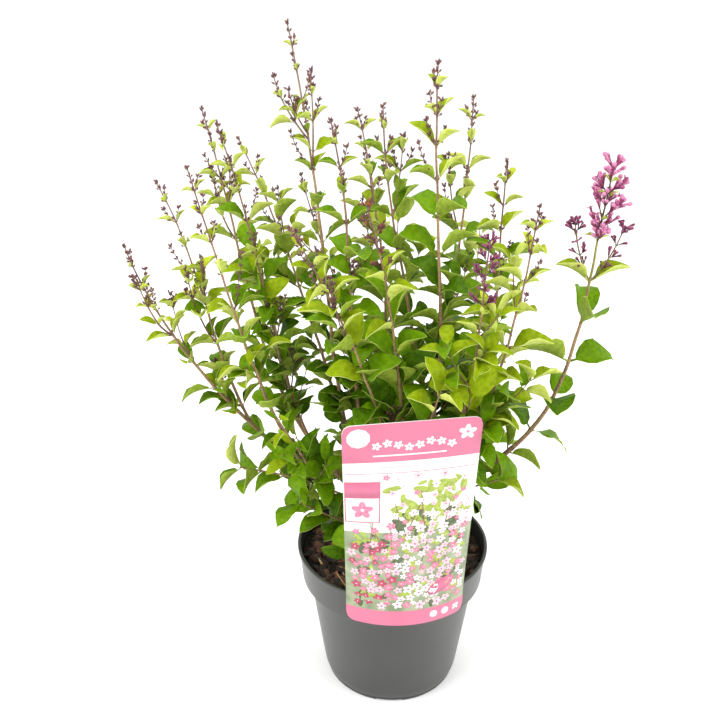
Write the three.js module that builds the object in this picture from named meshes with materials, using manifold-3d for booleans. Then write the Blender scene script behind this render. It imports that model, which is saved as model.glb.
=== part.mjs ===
// A young lilac bush in a nursery pot, with its potting mix and its plant label.
// Millimetres, +Z up. The origin is the centre of the pot's flat underside.
// The plant grows in a frame of its own, whose origin is the centre of the mix's surface.
import * as THREE from 'three';
import { mergeVertices } from 'three/addons/utils/BufferGeometryUtils.js';
import Module from 'manifold-3d';

const wasm = await Module();
wasm.setup();

// ---------- driving dimensions ----------

const CLEARANCE = 0.3; // between any two pieces that meet
const WELD = 0.03; // vertices that a join leaves closer together than this become one

const POT_HEIGHT = 150;
const RIM_RADIUS = 95;
const RIM_BAND_HEIGHT = 35.5;
const RIM_BAND_FOOT_RADIUS = 90.6;
const RIM_STEP = 6.8; // how far the band stands out of the pot's side
const BASE_RADIUS = 68.5;
const POT_WALL = 2;
const LIP = 1.6;
const FOOT_ROUND = 2;
const FOOT_WIDTH = 8.5;
const FLOOR_ROUND = 4; // of the corner between the floor and the wall, inside
const UNDERSIDE_RADIUS = 45; // the flat disc that the pot stands on
const FLOOR_CHANNEL = 3; // height of the drained ring round that disc
const FLOOR_THICKNESS = 2.2;
const DRAIN_HOLES = 6;
const DRAIN_RADIUS = 4.5;
const FOOT_NOTCHES = 4;
const FOOT_NOTCH = [27, 14, 4];
const POT_SIDES = 30;

const MIX_BELOW_RIM = 15;
const MIX_LEVEL = POT_HEIGHT - MIX_BELOW_RIM;
const MIX_UNEVENNESS = 2.2;
const MIX_FLAT_RADIUS = 18; // left level round the main stem

// The card hugs the rim with its lower edge; above the rim it leans out and flattens.
const CARD = { width: 117, height: 229.5, thickness: 1.1, corner: 8, foot: 122, hugging: 28 };
const CARD_BEARING = THREE.MathUtils.degToRad(9.2); // of its middle, to the right of the front
const CARD_YAW = THREE.MathUtils.degToRad(13);
const CARD_ROLL = THREE.MathUtils.degToRad(-0.7);
const CARD_TOP = { x: 15.2, y: -118, z: 347.5 };
const CARD_ROWS = 4;
const CARD_SPANS = 6; // straight stretches across the card, between its round corners
const CARD_SAG = 0.4; // by which the middle of such a stretch comes closer to the rim
const CARD_BACK_RADIUS = RIM_RADIUS + CLEARANCE + CARD_SAG;
const CLIP_HALF_ANGLE = THREE.MathUtils.degToRad(11);
const CLIP_DEPTH = 14; // how far the clip reaches down inside the rim
const CLIP_THICKNESS = 1.1;

const STOOL = { height: 62, footRadius: 13, neckRadius: 8.6, topRadius: 6, flare: 14, lean: [-4, 3] };

const BOUGH_SIDES = 5;
const BOUGH_STEPS = 5;
const TWIG_SIDES = 3;
const SHOOT_STEP = 42; // length of one straight facet of a shoot
const SHOOT_TIP_RADIUS = 0.8;
const SIDE_TWIG_RADIUS = [1.0, 0.6];

const LEAF_LENGTH = 45;
const LEAF_WIDTH_SHARE = 0.7;
const LEAF_THICKNESS_SHARE = 0.09; // at the keel
const LEAF_ARCH = 0.06;
const LEAF_TIP_DROP = 0.08;
const LEAF_ROLL = THREE.MathUtils.degToRad(40); // a leaf may roll this far round its midrib
const NODE_SPACING = { first: 12, growth: 5, full: 35 };
const LEAF_GROWTH = { first: 0.28, step: 0.18 }; // shares of a full leaf, by nodes from the tip
const SMALLEST_LEAF = 13;
const SIDE_TWIG_SHARE = 0.13; // of the lower nodes carry a side twig
const SIDE_TWIG_LENGTH = [38, 64];
const SIDE_TWIG_STEPS = 2;
const BUD_HEIGHT = 320; // only shoots that reach higher end in buds
const TOP_BUD = { length: 11, radius: 2.8, sunk: 5 };
const AXIL_BUD = { length: 13, radius: 2.1 };
const SPACE_OVERLAP = 16; // how far a leaf's middle may reach past the middle line to the next mass

// Each bough leaves the main stem at `foot` above the mix and ends at `fork`.
// The shoots of the mass that it carries run on from there to their tips [x, y, z, lean]:
// the larger the lean, the more a shoot still leans out at its tip.
// [x, y, z] from the centre of the mix's surface; `bow` bends a limb upwards.
const BOUGHS = [
  { name: 'left', foot: 13, fork: [-128, -5, 138], radii: [3.4, 2.4], bow: 0.03,
    leaf: 24, tips: [[-232, -25, 325, 0.5], [-217, 40, 365, 1.5]] },
  { name: 'right', foot: 13, fork: [112, -11, 130], radii: [3.6, 2.7], bow: 0.02,
    tips: [[176, -10, 401, 0.5]] },
  { name: 'left_front', foot: 21, fork: [-54, -34, 80], radii: [3.2, 2.4], bow: 0.06,
    tips: [[-167, -50, 398, 0.7], [-96, -112, 212, 1]] },
  { name: 'right_front', foot: 23, fork: [37, -35, 86], radii: [3.2, 2.4], bow: 0.02,
    tips: [[110, -62, 373, 0.4], [68, -110, 360, 0.3]] },
  { name: 'left_back', foot: 25, fork: [-80, 46, 92], radii: [3.4, 2.5], bow: 0.06,
    tips: [[-179, 75, 424, 0.9], [-147, -20, 426, 1.3], [-150, 160, 270, 1]] },
  { name: 'right_back', foot: 26, fork: [57, 40, 87], radii: [3.4, 2.5], bow: 0.06,
    tips: [[93, 30, 389, 0.3], [110, 125, 270, 1], [86, 166, 290, 1]] },
  { name: 'front', foot: 35, fork: [5, -42, 88], radii: [3.2, 2.4], bow: 0.06,
    tips: [[-22, -125, 388, 2.5], [36, -120, 240, 1], [-78, -122, 370, 1.5]] },
  { name: 'back', foot: 37, fork: [-4, 46, 90], radii: [3.4, 2.5], bow: 0.06,
    tips: [[-39, 105, 420, 2.5], [-97, 136, 352, 0.7], [0, 178, 300, 1]] },
  { name: 'left_middle', foot: 45, fork: [-40, 6, 108], radii: [3.6, 2.7], bow: 0.22,
    tips: [[-96, 50, 499, 1.6], [-154, 112, 391, 1.5]] },
  { name: 'right_middle', foot: 47, fork: [24, -9, 108], radii: [3.8, 3.0], bow: 0.08,
    tips: [[28, -50, 478, 1], [66, 82, 434, 0.2], [-14, 12, 432, 0.3]] },
  { name: 'middle', foot: 62, fork: [-25, 0, 118], radii: [3.4, 2.6], bow: 0.1,
    tips: [[-53, -45, 434, 2]] },
];

// Low leafy shoots that spring straight from the main stem, or branch from the first of them.
const LOW_SHOOTS = [
  { name: 'low_left', foot: 30, bow: -0.16, radius: 1.6, bareShare: 0.55, tips: [[-125, -42, 122, 1]] },
  { name: 'low_front', foot: 14, bow: 0.02, radius: 1.5, bareShare: 0.4,
    tips: [[-98, -62, 84, 1], [-42, -76, 52, 1]] },
  { name: 'low_right', foot: 38, bow: -0.05, radius: 1.6, bareShare: 0.4, tips: [[98, -34, 108, 1]] },
  { name: 'low_back', foot: 13, bow: 0, radius: 1.6, bareShare: 0.4,
    tips: [[8, 112, 88, 1], [104, 66, 92, 1], [-104, 76, 86, 1]] },
];

// Flower heads at the ends of single shoots. Below a head its shoot is `bare` down to the
// first leaves, and in their axils stand slim heads of their own, `side` long.
const FLOWER_HEADS = [
  { mass: 'right', tip: 0, length: 71, reach: 20, florets: 26, bare: 36, side: 50 },
  { mass: 'right_front', tip: 1, length: 58, reach: 15, florets: 14, bare: 6, side: 0 },
  { mass: 'front', tip: 0, length: 70, reach: 14, florets: 9, bare: 6, side: 0 },
];
const SIDE_HEAD_RADIUS = 5;

// ---------- materials ----------

const finish = (color, roughness) => new THREE.MeshStandardMaterial({ color, roughness, metalness: 0 });
const MATERIALS = {
  pot: finish(0x71716d, 0.55),
  mix: finish(0x3a2c22, 0.95),
  card: finish(0xe795b4, 0.35),
  bark: finish(0x7a5f45, 0.8),
  foliage: finish(0x5c8f2c, 0.6),
};

// ---------- solids ----------

// Only the positions are kept, so that neighbouring faces share their vertices.
function merged(geometry) {
  const bare = geometry.clone();
  bare.deleteAttribute('normal');
  bare.deleteAttribute('uv');
  return mergeVertices(bare, 1e-4);
}

function toSolid(geometry) {
  const closed = merged(geometry);
  return new wasm.Manifold(new wasm.Mesh({
    numProp: 3,
    vertProperties: new Float32Array(closed.attributes.position.array),
    triVerts: new Uint32Array(closed.index.array),
  }));
}

// Vertices that a join leaves closer together than WELD become one. Faces that this
// folds flat go, and so does every pair of faces that it lays back to back.
function toGeometry(solid) {
  const { vertProperties, triVerts } = solid.getMesh();
  const at = (i) => new THREE.Vector3().fromArray(vertProperties, 3 * i);
  const same = Array.from({ length: vertProperties.length / 3 }, (_, i) => i);
  const keptOf = (i) => (same[i] === i ? i : keptOf(same[i]));
  const faces = new Map();
  for (let corner = 0; corner < triVerts.length; corner += 1) {
    const next = corner % 3 === 2 ? corner - 2 : corner + 1;
    const [i, j] = [keptOf(triVerts[corner]), keptOf(triVerts[next])];
    if (at(i).distanceTo(at(j)) < WELD) same[Math.max(i, j)] = Math.min(i, j);
  }
  for (let first = 0; first < triVerts.length; first += 3) {
    const face = [0, 1, 2].map((k) => keptOf(triVerts[first + k]));
    if (new Set(face).size < 3) continue;
    const key = face.toSorted((a, b) => a - b).join();
    if (!faces.delete(key)) faces.set(key, face);
  }
  const geometry = new THREE.BufferGeometry();
  geometry.setAttribute('position', new THREE.BufferAttribute(vertProperties, 3));
  geometry.setIndex([...faces.values()].flat());
  return mergeVertices(geometry, 1e-4);
}

// Joins a list of solids in pairs, so that no join is much larger than it has to be.
function joined(solids) {
  if (solids.length === 1) return solids[0];
  const half = Math.ceil(solids.length / 2);
  return joined(solids.slice(0, half)).add(joined(solids.slice(half)));
}

function facetSolid(points, faces) {
  const geometry = new THREE.BufferGeometry();
  geometry.setAttribute('position', new THREE.Float32BufferAttribute(points.flatMap((p) => p.toArray()), 3));
  geometry.setIndex(faces.flat());
  return geometry;
}

function turned(profile, sides) {
  const geometry = new THREE.LatheGeometry(profile.map(([r, z]) => new THREE.Vector2(r, z)), sides);
  return geometry.rotateX(Math.PI / 2);
}

const vec = (p) => new THREE.Vector3(...p);

// A repeatable number from 0 to 1 for up to four whole numbers.
const KEY_WEIGHTS = [12.9898, 78.233, 37.719, 54.123];
const DRAW_SCALE = 43758.5453;

function draw(...keys) {
  const sum = keys.reduce((total, key, index) => total + key * KEY_WEIGHTS[index], 0.5);
  const wave = Math.sin(sum) * DRAW_SCALE;
  return wave - Math.floor(wave);
}

const between = (low, high, share) => low + (high - low) * share;

// ---------- pot, mix and label ----------

const BODY_TOP = POT_HEIGHT - RIM_BAND_HEIGHT;
const BODY_TOP_RADIUS = RIM_BAND_FOOT_RADIUS - RIM_STEP;
const CHANNEL_RADIUS = BASE_RADIUS - FOOT_WIDTH;
const LEDGE = BODY_TOP + POT_WALL; // inside, where the band stands back from the side

function innerProfile(gap) {
  return [
    [RIM_BAND_FOOT_RADIUS - POT_WALL - gap, LEDGE + gap],
    [BODY_TOP_RADIUS - POT_WALL - gap, LEDGE + gap],
    [BASE_RADIUS - POT_WALL - gap, FLOOR_ROUND + FLOOR_CHANNEL],
    [BASE_RADIUS - FLOOR_ROUND - gap, FLOOR_CHANNEL + FLOOR_THICKNESS + gap],
    [UNDERSIDE_RADIUS + 2, FLOOR_CHANNEL + FLOOR_THICKNESS + gap],
    [UNDERSIDE_RADIUS, FLOOR_THICKNESS + gap],
    [0, FLOOR_THICKNESS + gap],
  ];
}

function innerRadiusAt(height) {
  const climb = (height - LEDGE) / (POT_HEIGHT - 2 * LIP - LEDGE);
  return between(RIM_BAND_FOOT_RADIUS - POT_WALL, RIM_RADIUS - LIP - POT_WALL, climb);
}

function potGeometry() {
  const footArc = [30, 75].map((degrees) => {
    const angle = THREE.MathUtils.degToRad(degrees);
    return [BASE_RADIUS - FOOT_ROUND * (1 - Math.sin(angle)), FOOT_ROUND * (1 - Math.cos(angle))];
  });
  const outside = [
    [0, 0],
    [UNDERSIDE_RADIUS, 0],
    [UNDERSIDE_RADIUS + 2, FLOOR_CHANNEL],
    [CHANNEL_RADIUS - 2, FLOOR_CHANNEL],
    [CHANNEL_RADIUS, 0],
    [BASE_RADIUS - FOOT_ROUND, 0],
    ...footArc,
    [BODY_TOP_RADIUS, BODY_TOP],
    [RIM_BAND_FOOT_RADIUS, BODY_TOP],
    [RIM_RADIUS - LIP, POT_HEIGHT - 2 * LIP],
    [RIM_RADIUS, POT_HEIGHT - 1.5 * LIP],
    [RIM_RADIUS, POT_HEIGHT],
    [RIM_RADIUS - POT_WALL, POT_HEIGHT],
    [RIM_RADIUS - LIP - POT_WALL, POT_HEIGHT - 2 * LIP],
  ];
  let solid = toSolid(turned([...outside, ...innerProfile(0)], POT_SIDES));
  const holeCentre = (UNDERSIDE_RADIUS + CHANNEL_RADIUS) / 2;
  for (let i = 0; i < DRAIN_HOLES; i += 1) {
    const angle = ((i + 0.5) / DRAIN_HOLES) * 2 * Math.PI;
    const hole = new THREE.CylinderGeometry(DRAIN_RADIUS, DRAIN_RADIUS, 20, 8).rotateX(Math.PI / 2);
    hole.translate(holeCentre * Math.cos(angle), holeCentre * Math.sin(angle), 0);
    solid = solid.subtract(toSolid(hole));
  }
  for (let i = 0; i < FOOT_NOTCHES; i += 1) {
    const notch = new THREE.BoxGeometry(...FOOT_NOTCH);
    notch.translate(0, -(BASE_RADIUS - 1), 0);
    notch.rotateZ((i / FOOT_NOTCHES) * 2 * Math.PI);
    solid = solid.subtract(toSolid(notch));
  }
  return toGeometry(solid);
}

// The mix fills the pot a clearance inside its wall; its surface is a little uneven.
function mixGeometry() {
  const wall = innerProfile(CLEARANCE);
  const edge = innerRadiusAt(MIX_LEVEL) - CLEARANCE;
  const surface = [MIX_FLAT_RADIUS, 42, 66].map((radius) => [radius, MIX_LEVEL]).reverse();
  const profile = [...wall.toReversed(), [edge - 0.2, MIX_LEVEL], ...surface, [0, MIX_LEVEL]];
  const geometry = merged(turned(profile, POT_SIDES));
  const place = geometry.attributes.position;
  for (let i = 0; i < place.count; i += 1) {
    const [x, y, z] = [place.getX(i), place.getY(i), place.getZ(i)];
    const radius = Math.hypot(x, y);
    if (z > MIX_LEVEL - 1 && radius > MIX_FLAT_RADIUS + 1) {
      place.setZ(i, z + MIX_UNEVENNESS * Math.sin(x / 11 + 1) * Math.cos(y / 9));
    }
  }
  return toGeometry(toSolid(geometry));
}

// A stretch of an upright round wall at the card's bearing, closed on all sides.
function arcBand(inner, outer, halfAngle, low, high) {
  const middle = CARD_BEARING - Math.PI / 2;
  const shape = new THREE.Shape();
  shape.absarc(0, 0, outer, middle - halfAngle, middle + halfAngle, false);
  shape.absarc(0, 0, inner, middle + halfAngle, middle - halfAngle, true);
  const geometry = new THREE.ExtrudeGeometry(shape, { depth: high - low, bevelEnabled: false, curveSegments: 3 });
  return geometry.translate(0, 0, low);
}

// A point of the card: `across` from its middle, `up` from its lower edge, `proud` of its back.
function cardPoint(across, up, proud) {
  const radius = CARD_BACK_RADIUS;
  const bearing = CARD_BEARING + across / (radius + proud);
  const leant = Math.max(0, up - CARD.hugging) / (CARD.height - CARD.hugging);
  const low = new THREE.Vector3(
    (radius + proud) * Math.sin(bearing), -(radius + proud) * Math.cos(bearing), CARD.foot + up);
  const high = new THREE.Vector3(
    CARD_TOP.x + across * Math.cos(CARD_YAW) + proud * Math.sin(CARD_YAW),
    CARD_TOP.y + across * Math.sin(CARD_YAW) - proud * Math.cos(CARD_YAW),
    CARD_TOP.z + across * Math.sin(CARD_ROLL) + up - CARD.height);
  return low.lerp(high, leant);
}

// A flat box whose columns are shortened at both sides, for the round corners, and then bent.
function cardGeometry() {
  const { width, height, thickness, corner } = CARD;
  const half = width / 2;
  const columns = [-half, -half + corner * 0.3];
  for (let i = 0; i <= CARD_SPANS; i += 1) columns.push((half - corner) * (2 * i / CARD_SPANS - 1));
  columns.push(half - corner * 0.3, half);
  const geometry = new THREE.BoxGeometry(1, 1, 1, columns.length - 1, 1, CARD_ROWS);
  const place = geometry.attributes.position;
  for (let i = 0; i < place.count; i += 1) {
    const across = columns[Math.round((place.getX(i) + 0.5) * (columns.length - 1))];
    const short = Math.max(0, corner - (half - Math.abs(across)));
    const cut = corner - Math.sqrt(corner * corner - short * short);
    const row = Math.round((place.getZ(i) + 0.5) * CARD_ROWS);
    const up = row === 0 ? cut : between(CARD.hugging, height - cut, (row - 1) / (CARD_ROWS - 1));
    const point = cardPoint(across, up, place.getY(i) < 0 ? thickness : 0);
    place.setXYZ(i, point.x, point.y, point.z);
  }
  return geometry;
}

// A clip behind the card hooks over the rim and reaches down inside it.
function labelGeometry() {
  const back = CARD_BACK_RADIUS;
  const bridge = POT_HEIGHT + CLEARANCE;
  const low = bridge - CLIP_DEPTH;
  const flat = Math.cos(Math.PI / POT_SIDES); // the pot's facets lie inside its round
  const inside = (innerRadiusAt(low) - CLEARANCE) * flat - CLEARANCE - CLIP_THICKNESS;
  const pieces = [
    cardGeometry(),
    arcBand(inside, back + CLIP_THICKNESS / 2, CLIP_HALF_ANGLE, bridge, bridge + CLIP_THICKNESS),
    arcBand(inside, inside + CLIP_THICKNESS, CLIP_HALF_ANGLE, low, bridge + CLIP_THICKNESS / 2),
  ];
  return toGeometry(joined(pieces.map(toSolid)));
}

// ---------- limbs ----------

// A closed, tapering limb along a curve: a cylinder whose rings are moved onto the curve.
function limbGeometry(curve, footRadius, tipRadius, sides, steps) {
  const geometry = new THREE.CylinderGeometry(tipRadius, footRadius, 1, sides, steps);
  const { normals, binormals } = curve.computeFrenetFrames(steps);
  const place = geometry.attributes.position;
  for (let i = 0; i < place.count; i += 1) {
    const step = Math.round((place.getY(i) + 0.5) * steps);
    const point = curve.getPointAt(step / steps);
    point.addScaledVector(normals[step], place.getX(i));
    point.addScaledVector(binormals[step], -place.getZ(i));
    place.setXYZ(i, point.x, point.y, point.z);
  }
  return geometry;
}

// Where a share of the way along a limb lies on its straight facets, and their direction there.
function placeOnLimb(limb, share) {
  const along = Math.min(Math.max(share, 0), 1) * limb.steps;
  const step = Math.min(Math.floor(along), limb.steps - 1);
  const start = limb.curve.getPointAt(step / limb.steps);
  const end = limb.curve.getPointAt((step + 1) / limb.steps);
  return { point: start.clone().lerp(end, along - step), tangent: end.sub(start).normalize() };
}

// Half of the way is flat and half steep: `bow` shifts that, so the limb bends upwards.
function bowedCurve(start, end, bow) {
  const way = end.clone().sub(start);
  const control = start.clone().add(new THREE.Vector3(
    way.x * (0.5 + bow), way.y * (0.5 + bow), way.z * (0.5 - bow)));
  return new THREE.QuadraticBezierCurve3(start, control, end);
}

// A shoot leaves in the direction that it is given and ends upright, or leaning out.
function shootCurve(start, direction, tip, lean = 0.5) {
  const way = tip.clone().sub(start);
  const length = way.length();
  const ending = new THREE.Vector3(way.x * lean, way.y * lean, way.z).normalize();
  return new THREE.CubicBezierCurve3(
    start,
    start.clone().addScaledVector(direction, length * 0.3),
    tip.clone().addScaledVector(ending, -length * 0.4),
    tip,
  );
}

// The main stem: a short stool with a flared foot and a domed top, leaning a little.
function stoolGeometry(grow) {
  const { height, footRadius, neckRadius, topRadius, flare, lean } = STOOL;
  const rings = [
    [-grow, footRadius], [2, footRadius - 1], [6, neckRadius + 1.6], [flare, neckRadius],
    [height * 0.55, neckRadius - 0.6], [height - 8, between(neckRadius, topRadius, 0.7)],
    [height - 2, topRadius], [height, topRadius * 0.6],
  ];
  const profile = rings.map(([z, radius]) => [radius + grow, z + (z > flare ? grow : 0)]);
  profile.unshift([0, profile[0][1]]);
  profile.push([0, height + grow]);
  const geometry = turned(profile, 10);
  const place = geometry.attributes.position;
  for (let i = 0; i < place.count; i += 1) {
    const share = Math.max(0, place.getZ(i) - 6) / height;
    const bark = 1 + 0.05 * Math.sin(3 * Math.atan2(place.getY(i), place.getX(i)) + place.getZ(i) / 9);
    place.setX(i, place.getX(i) * bark + lean[0] * share);
    place.setY(i, place.getY(i) * bark + lean[1] * share);
  }
  return geometry.translate(0, 0, CLEARANCE);
}

function stoolAxis(height) {
  const share = Math.max(0, height - 6) / STOOL.height;
  return new THREE.Vector3(STOOL.lean[0] * share, STOOL.lean[1] * share, height);
}

function boughCurve(bough) {
  const start = stoolAxis(bough.foot);
  if (bough.foot >= STOOL.height) start.z += 3 * CLEARANCE;
  return bowedCurve(start, vec(bough.fork), bough.bow);
}

// ---------- leaves, buds and florets ----------

// The frame of a leaf at a node: out along the leaf, across it, and up from its face.
function leafFrame(tangent, angle, lean, roll = 0) {
  const side = new THREE.Vector3(0, 0, 1).cross(tangent);
  if (side.lengthSq() < 1e-6) side.set(1, 0, 0);
  side.normalize();
  const front = tangent.clone().cross(side);
  const away = side.clone().multiplyScalar(Math.cos(angle)).addScaledVector(front, Math.sin(angle));
  const along = tangent.clone().multiplyScalar(Math.cos(lean)).addScaledVector(away, Math.sin(lean));
  const across = tangent.clone().cross(away).normalize();
  const up = across.clone().cross(along).multiplyScalar(-1);
  across.applyAxisAngle(along, roll);
  up.applyAxisAngle(along, roll);
  return { along, across, up };
}

// Six faces: an arched kite, highest across its middle, with a keel below its midrib.
function leafGeometry(node, frame, length, grow = 0) {
  const { along, across, up } = frame;
  const point = (out, side, height) => node.clone()
    .addScaledVector(along, out).addScaledVector(across, side).addScaledVector(up, height);
  const middle = length * 0.48;
  const half = length * LEAF_WIDTH_SHARE / 2 + grow;
  const points = [
    point(-grow, 0, 0),
    point(length + grow, 0, -length * LEAF_TIP_DROP),
    point(middle, half, length * LEAF_ARCH + grow),
    point(middle, -half, length * LEAF_ARCH + grow),
    point(middle, 0, length * (LEAF_ARCH - LEAF_THICKNESS_SHARE) - grow),
  ];
  return facetSolid(points, [[0, 3, 2], [1, 2, 3], [0, 2, 4], [0, 4, 3], [1, 4, 2], [1, 3, 4]]);
}

// A bud or floret: six faces, thickest beyond its middle.
function clubGeometry(node, frame, length, radius) {
  const { along, across, up } = frame;
  const ring = node.clone().addScaledVector(along, length * 0.66);
  const points = [
    node.clone().addScaledVector(along, -1),
    node.clone().addScaledVector(along, length),
  ];
  for (const angle of [0, 2, 4].map((third) => (third * Math.PI) / 3)) {
    points.push(ring.clone()
      .addScaledVector(across, radius * Math.cos(angle)).addScaledVector(up, radius * Math.sin(angle)));
  }
  return facetSolid(points, [[0, 3, 2], [0, 4, 3], [0, 2, 4], [1, 2, 3], [1, 3, 4], [1, 4, 2]]);
}

// Nodes are counted from a shoot's tip: close together there, then further and further apart.
function nodesBelowTip(length, head) {
  const nodes = [];
  let distance = head ? head.length + head.bare : NODE_SPACING.first;
  let spacing = head ? NODE_SPACING.full : NODE_SPACING.first + NODE_SPACING.growth;
  while (distance < length) {
    nodes.push(distance);
    distance += spacing;
    spacing = Math.min(spacing + NODE_SPACING.growth, NODE_SPACING.full);
  }
  return nodes;
}

const leafLengthAt = (index, largest) => largest * Math.min(1, LEAF_GROWTH.first + LEAF_GROWTH.step * index);

// ---------- keeping clear ----------

const taken = []; // every solid so far that a new twig or leaf has to stay clear of

function boxOf(geometry) {
  return new THREE.Box3().setFromBufferAttribute(geometry.attributes.position);
}

function take(owner, geometry, solid = toSolid(geometry), node = null) {
  taken.push({ owner, solid, node, box: boxOf(geometry) });
  return solid;
}

function isClear(geometry, skipped) {
  const box = boxOf(geometry);
  let solid = null;
  for (const other of taken) {
    if (skipped(other) || !box.intersectsBox(other.box)) continue;
    solid ??= toSolid(geometry);
    if (solid.intersect(other.solid).getMesh().triVerts.length > 0) return false;
  }
  return true;
}

// ---------- the plant ----------

function limb(curve, radius, index) {
  const length = curve.getLength();
  return { curve, radius, index, length, steps: Math.max(4, Math.round(length / SHOOT_STEP)) };
}

function tipOf([x, y, z, lean]) {
  return { place: new THREE.Vector3(x, y, z), lean };
}

// The first shoot of a mass is its leader, and the others branch off near its foot.
function branchedShoots(leader, tips, firstBranch, radius) {
  const shoots = [leader];
  for (const [index, tip] of tips.entries()) {
    if (index === 0) continue;
    const { point, tangent } = placeOnLimb(leader, (firstBranch + 7 * index) / leader.length);
    const way = tip.place.clone().sub(point).normalize();
    const direction = tangent.add(way.multiplyScalar(1.4)).normalize();
    shoots.push(limb(shootCurve(point, direction, tip.place, tip.lean), radius * 0.8, index));
  }
  return shoots;
}

function plantMasses() {
  const masses = [];
  for (const bough of BOUGHS) {
    const tips = bough.tips.map(tipOf);
    const direction = boughCurve(bough).getTangentAt(1);
    const start = vec(bough.fork).addScaledVector(direction, CLEARANCE);
    const leader = limb(shootCurve(start, direction, tips[0].place, tips[0].lean), bough.radii[1], 0);
    const shoots = branchedShoots(leader, tips, 2, bough.radii[1]);
    masses.push({ name: bough.name, shoots, bareShare: 0, leaf: bough.leaf ?? LEAF_LENGTH });
  }
  for (const low of LOW_SHOOTS) {
    const tips = low.tips.map(tipOf);
    const leader = limb(bowedCurve(stoolAxis(low.foot), tips[0].place, low.bow), low.radius, 0);
    const shoots = branchedShoots(leader, tips, STOOL.footRadius + 4, low.radius);
    masses.push({ ...low, shoots, fromStool: true, leaf: LEAF_LENGTH * 0.92 });
  }
  return masses.map((mass, index) => ({ ...mass, index }));
}

const headOf = (mass, shoot) => FLOWER_HEADS.find((head) => head.mass === mass.name && head.tip === shoot.index);

// The twigs of one mass: its shoots, and the side twigs that its lower nodes carry.
function growTwigs(mass, stoolGrown) {
  mass.solids = [];
  mass.twigs = [];
  for (const shoot of mass.shoots) {
    const geometry = limbGeometry(shoot.curve, shoot.radius, SHOOT_TIP_RADIUS, TWIG_SIDES, shoot.steps);
    let solid = toSolid(geometry);
    if (mass.fromStool) solid = solid.subtract(stoolGrown);
    mass.solids.push(take(mass.name, geometry, solid));
    const flowering = shoot.curve.getPointAt(1).z > BUD_HEIGHT;
    mass.twigs.push({ ...shoot, largest: mass.leaf, flowering });
  }
}

function growSideTwigs(mass) {
  for (const shoot of [...mass.twigs]) {
    const nodes = nodesBelowTip(shoot.length * (1 - mass.bareShare) - 12, headOf(mass, shoot));
    for (const [index, distance] of nodes.entries()) {
      if (index < 6 || draw(mass.index, shoot.index, index, 1) > SIDE_TWIG_SHARE) continue;
      const { point: start, tangent } = placeOnLimb(shoot, 1 - distance / shoot.length);
      const angle = pairAngle(mass, shoot, index);
      const side = draw(mass.index, shoot.index, index, 2) > 0.5 ? Math.PI : 0;
      const frame = leafFrame(tangent, angle + side, THREE.MathUtils.degToRad(50));
      const length = between(...SIDE_TWIG_LENGTH, draw(mass.index, shoot.index, index, 3));
      const end = start.clone().addScaledVector(frame.along, length).add(new THREE.Vector3(0, 0, length * 0.25));
      const curve = shootCurve(start, frame.along, end);
      const geometry = limbGeometry(curve, ...SIDE_TWIG_RADIUS, TWIG_SIDES, SIDE_TWIG_STEPS);
      if (!isClear(geometry, (other) => other.owner === mass.name)) continue;
      mass.solids.push(take(mass.name, geometry));
      mass.twigs.push({
        curve,
        index: 10 + shoot.index * 20 + index,
        length,
        steps: SIDE_TWIG_STEPS,
        largest: mass.leaf * 0.85,
        side: true,
      });
    }
  }
}

// Pairs of leaves stand crosswise to the pair before. The first pair below a flower head
// stands to its left and right.
function pairAngle(mass, twig, index) {
  const wander = between(-0.35, 0.35, draw(mass.index, twig.index, index, 4));
  const first = headOf(mass, twig) ? Math.PI / 2 : twig.index * 0.9;
  return first + index * (Math.PI / 2) + wander;
}

function inOwnSpace(point, mass, masses) {
  const nearest = (owner) => Math.min(...owner.marks.map((mark) => mark.distanceTo(point)));
  const own = nearest(mass) - SPACE_OVERLAP;
  return masses.every((other) => other === mass || nearest(other) > own);
}

function growLeaves(mass, masses) {
  for (const twig of mass.twigs) {
    const bare = twig.side ? 6 : 14 + twig.length * mass.bareShare;
    const head = headOf(mass, twig);
    const ages = head ? 6 : twig.flowering ? 0 : 3; // by which its leaves are larger than young ones
    for (const [index, distance] of nodesBelowTip(twig.length - bare, head).entries()) {
      const { point: node, tangent } = placeOnLimb(twig, 1 - distance / twig.length);
      const length = leafLengthAt(index + ages, twig.largest);
      if (length < SMALLEST_LEAF) continue;
      const angle = pairAngle(mass, twig, index);
      const name = `${mass.name} ${twig.index} ${index}`;
      const own = (other) => other.owner === mass.name && (!other.node || other.node === name);
      for (const half of [0, 1]) {
        const lean = between(0.85, 1.2, draw(mass.index, twig.index, index, 5 + half));
        const roll = between(-LEAF_ROLL, LEAF_ROLL, draw(mass.index, twig.index, index, 9 + half));
        const frame = leafFrame(tangent, angle + half * Math.PI, lean, roll);
        const size = length * between(0.88, 1.12, draw(mass.index, twig.index, index, 7 + half));
        const middle = node.clone().addScaledVector(frame.along, size * 0.6);
        if (!inOwnSpace(middle, mass, masses)) continue;
        if (!isClear(leafGeometry(node, frame, size, CLEARANCE), own)) continue;
        const geometry = leafGeometry(node, frame, size);
        mass.solids.push(take(mass.name, geometry, toSolid(geometry), name));
      }
    }
  }
}

function addClub(mass, node, frame, length, radius) {
  const geometry = clubGeometry(node, frame, length, radius);
  if (!isClear(geometry, (other) => other.owner === mass.name)) return;
  mass.solids.push(take(mass.name, geometry));
}

function growSideHeads(mass, twig, head) {
  const { point: node, tangent } = placeOnLimb(twig, 1 - (head.length + head.bare) / twig.length);
  const angle = pairAngle(mass, twig, 0);
  for (const half of [0, 1]) {
    addClub(mass, node, leafFrame(tangent, angle + half * Math.PI, 0.45), head.side, SIDE_HEAD_RADIUS);
  }
}

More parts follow.
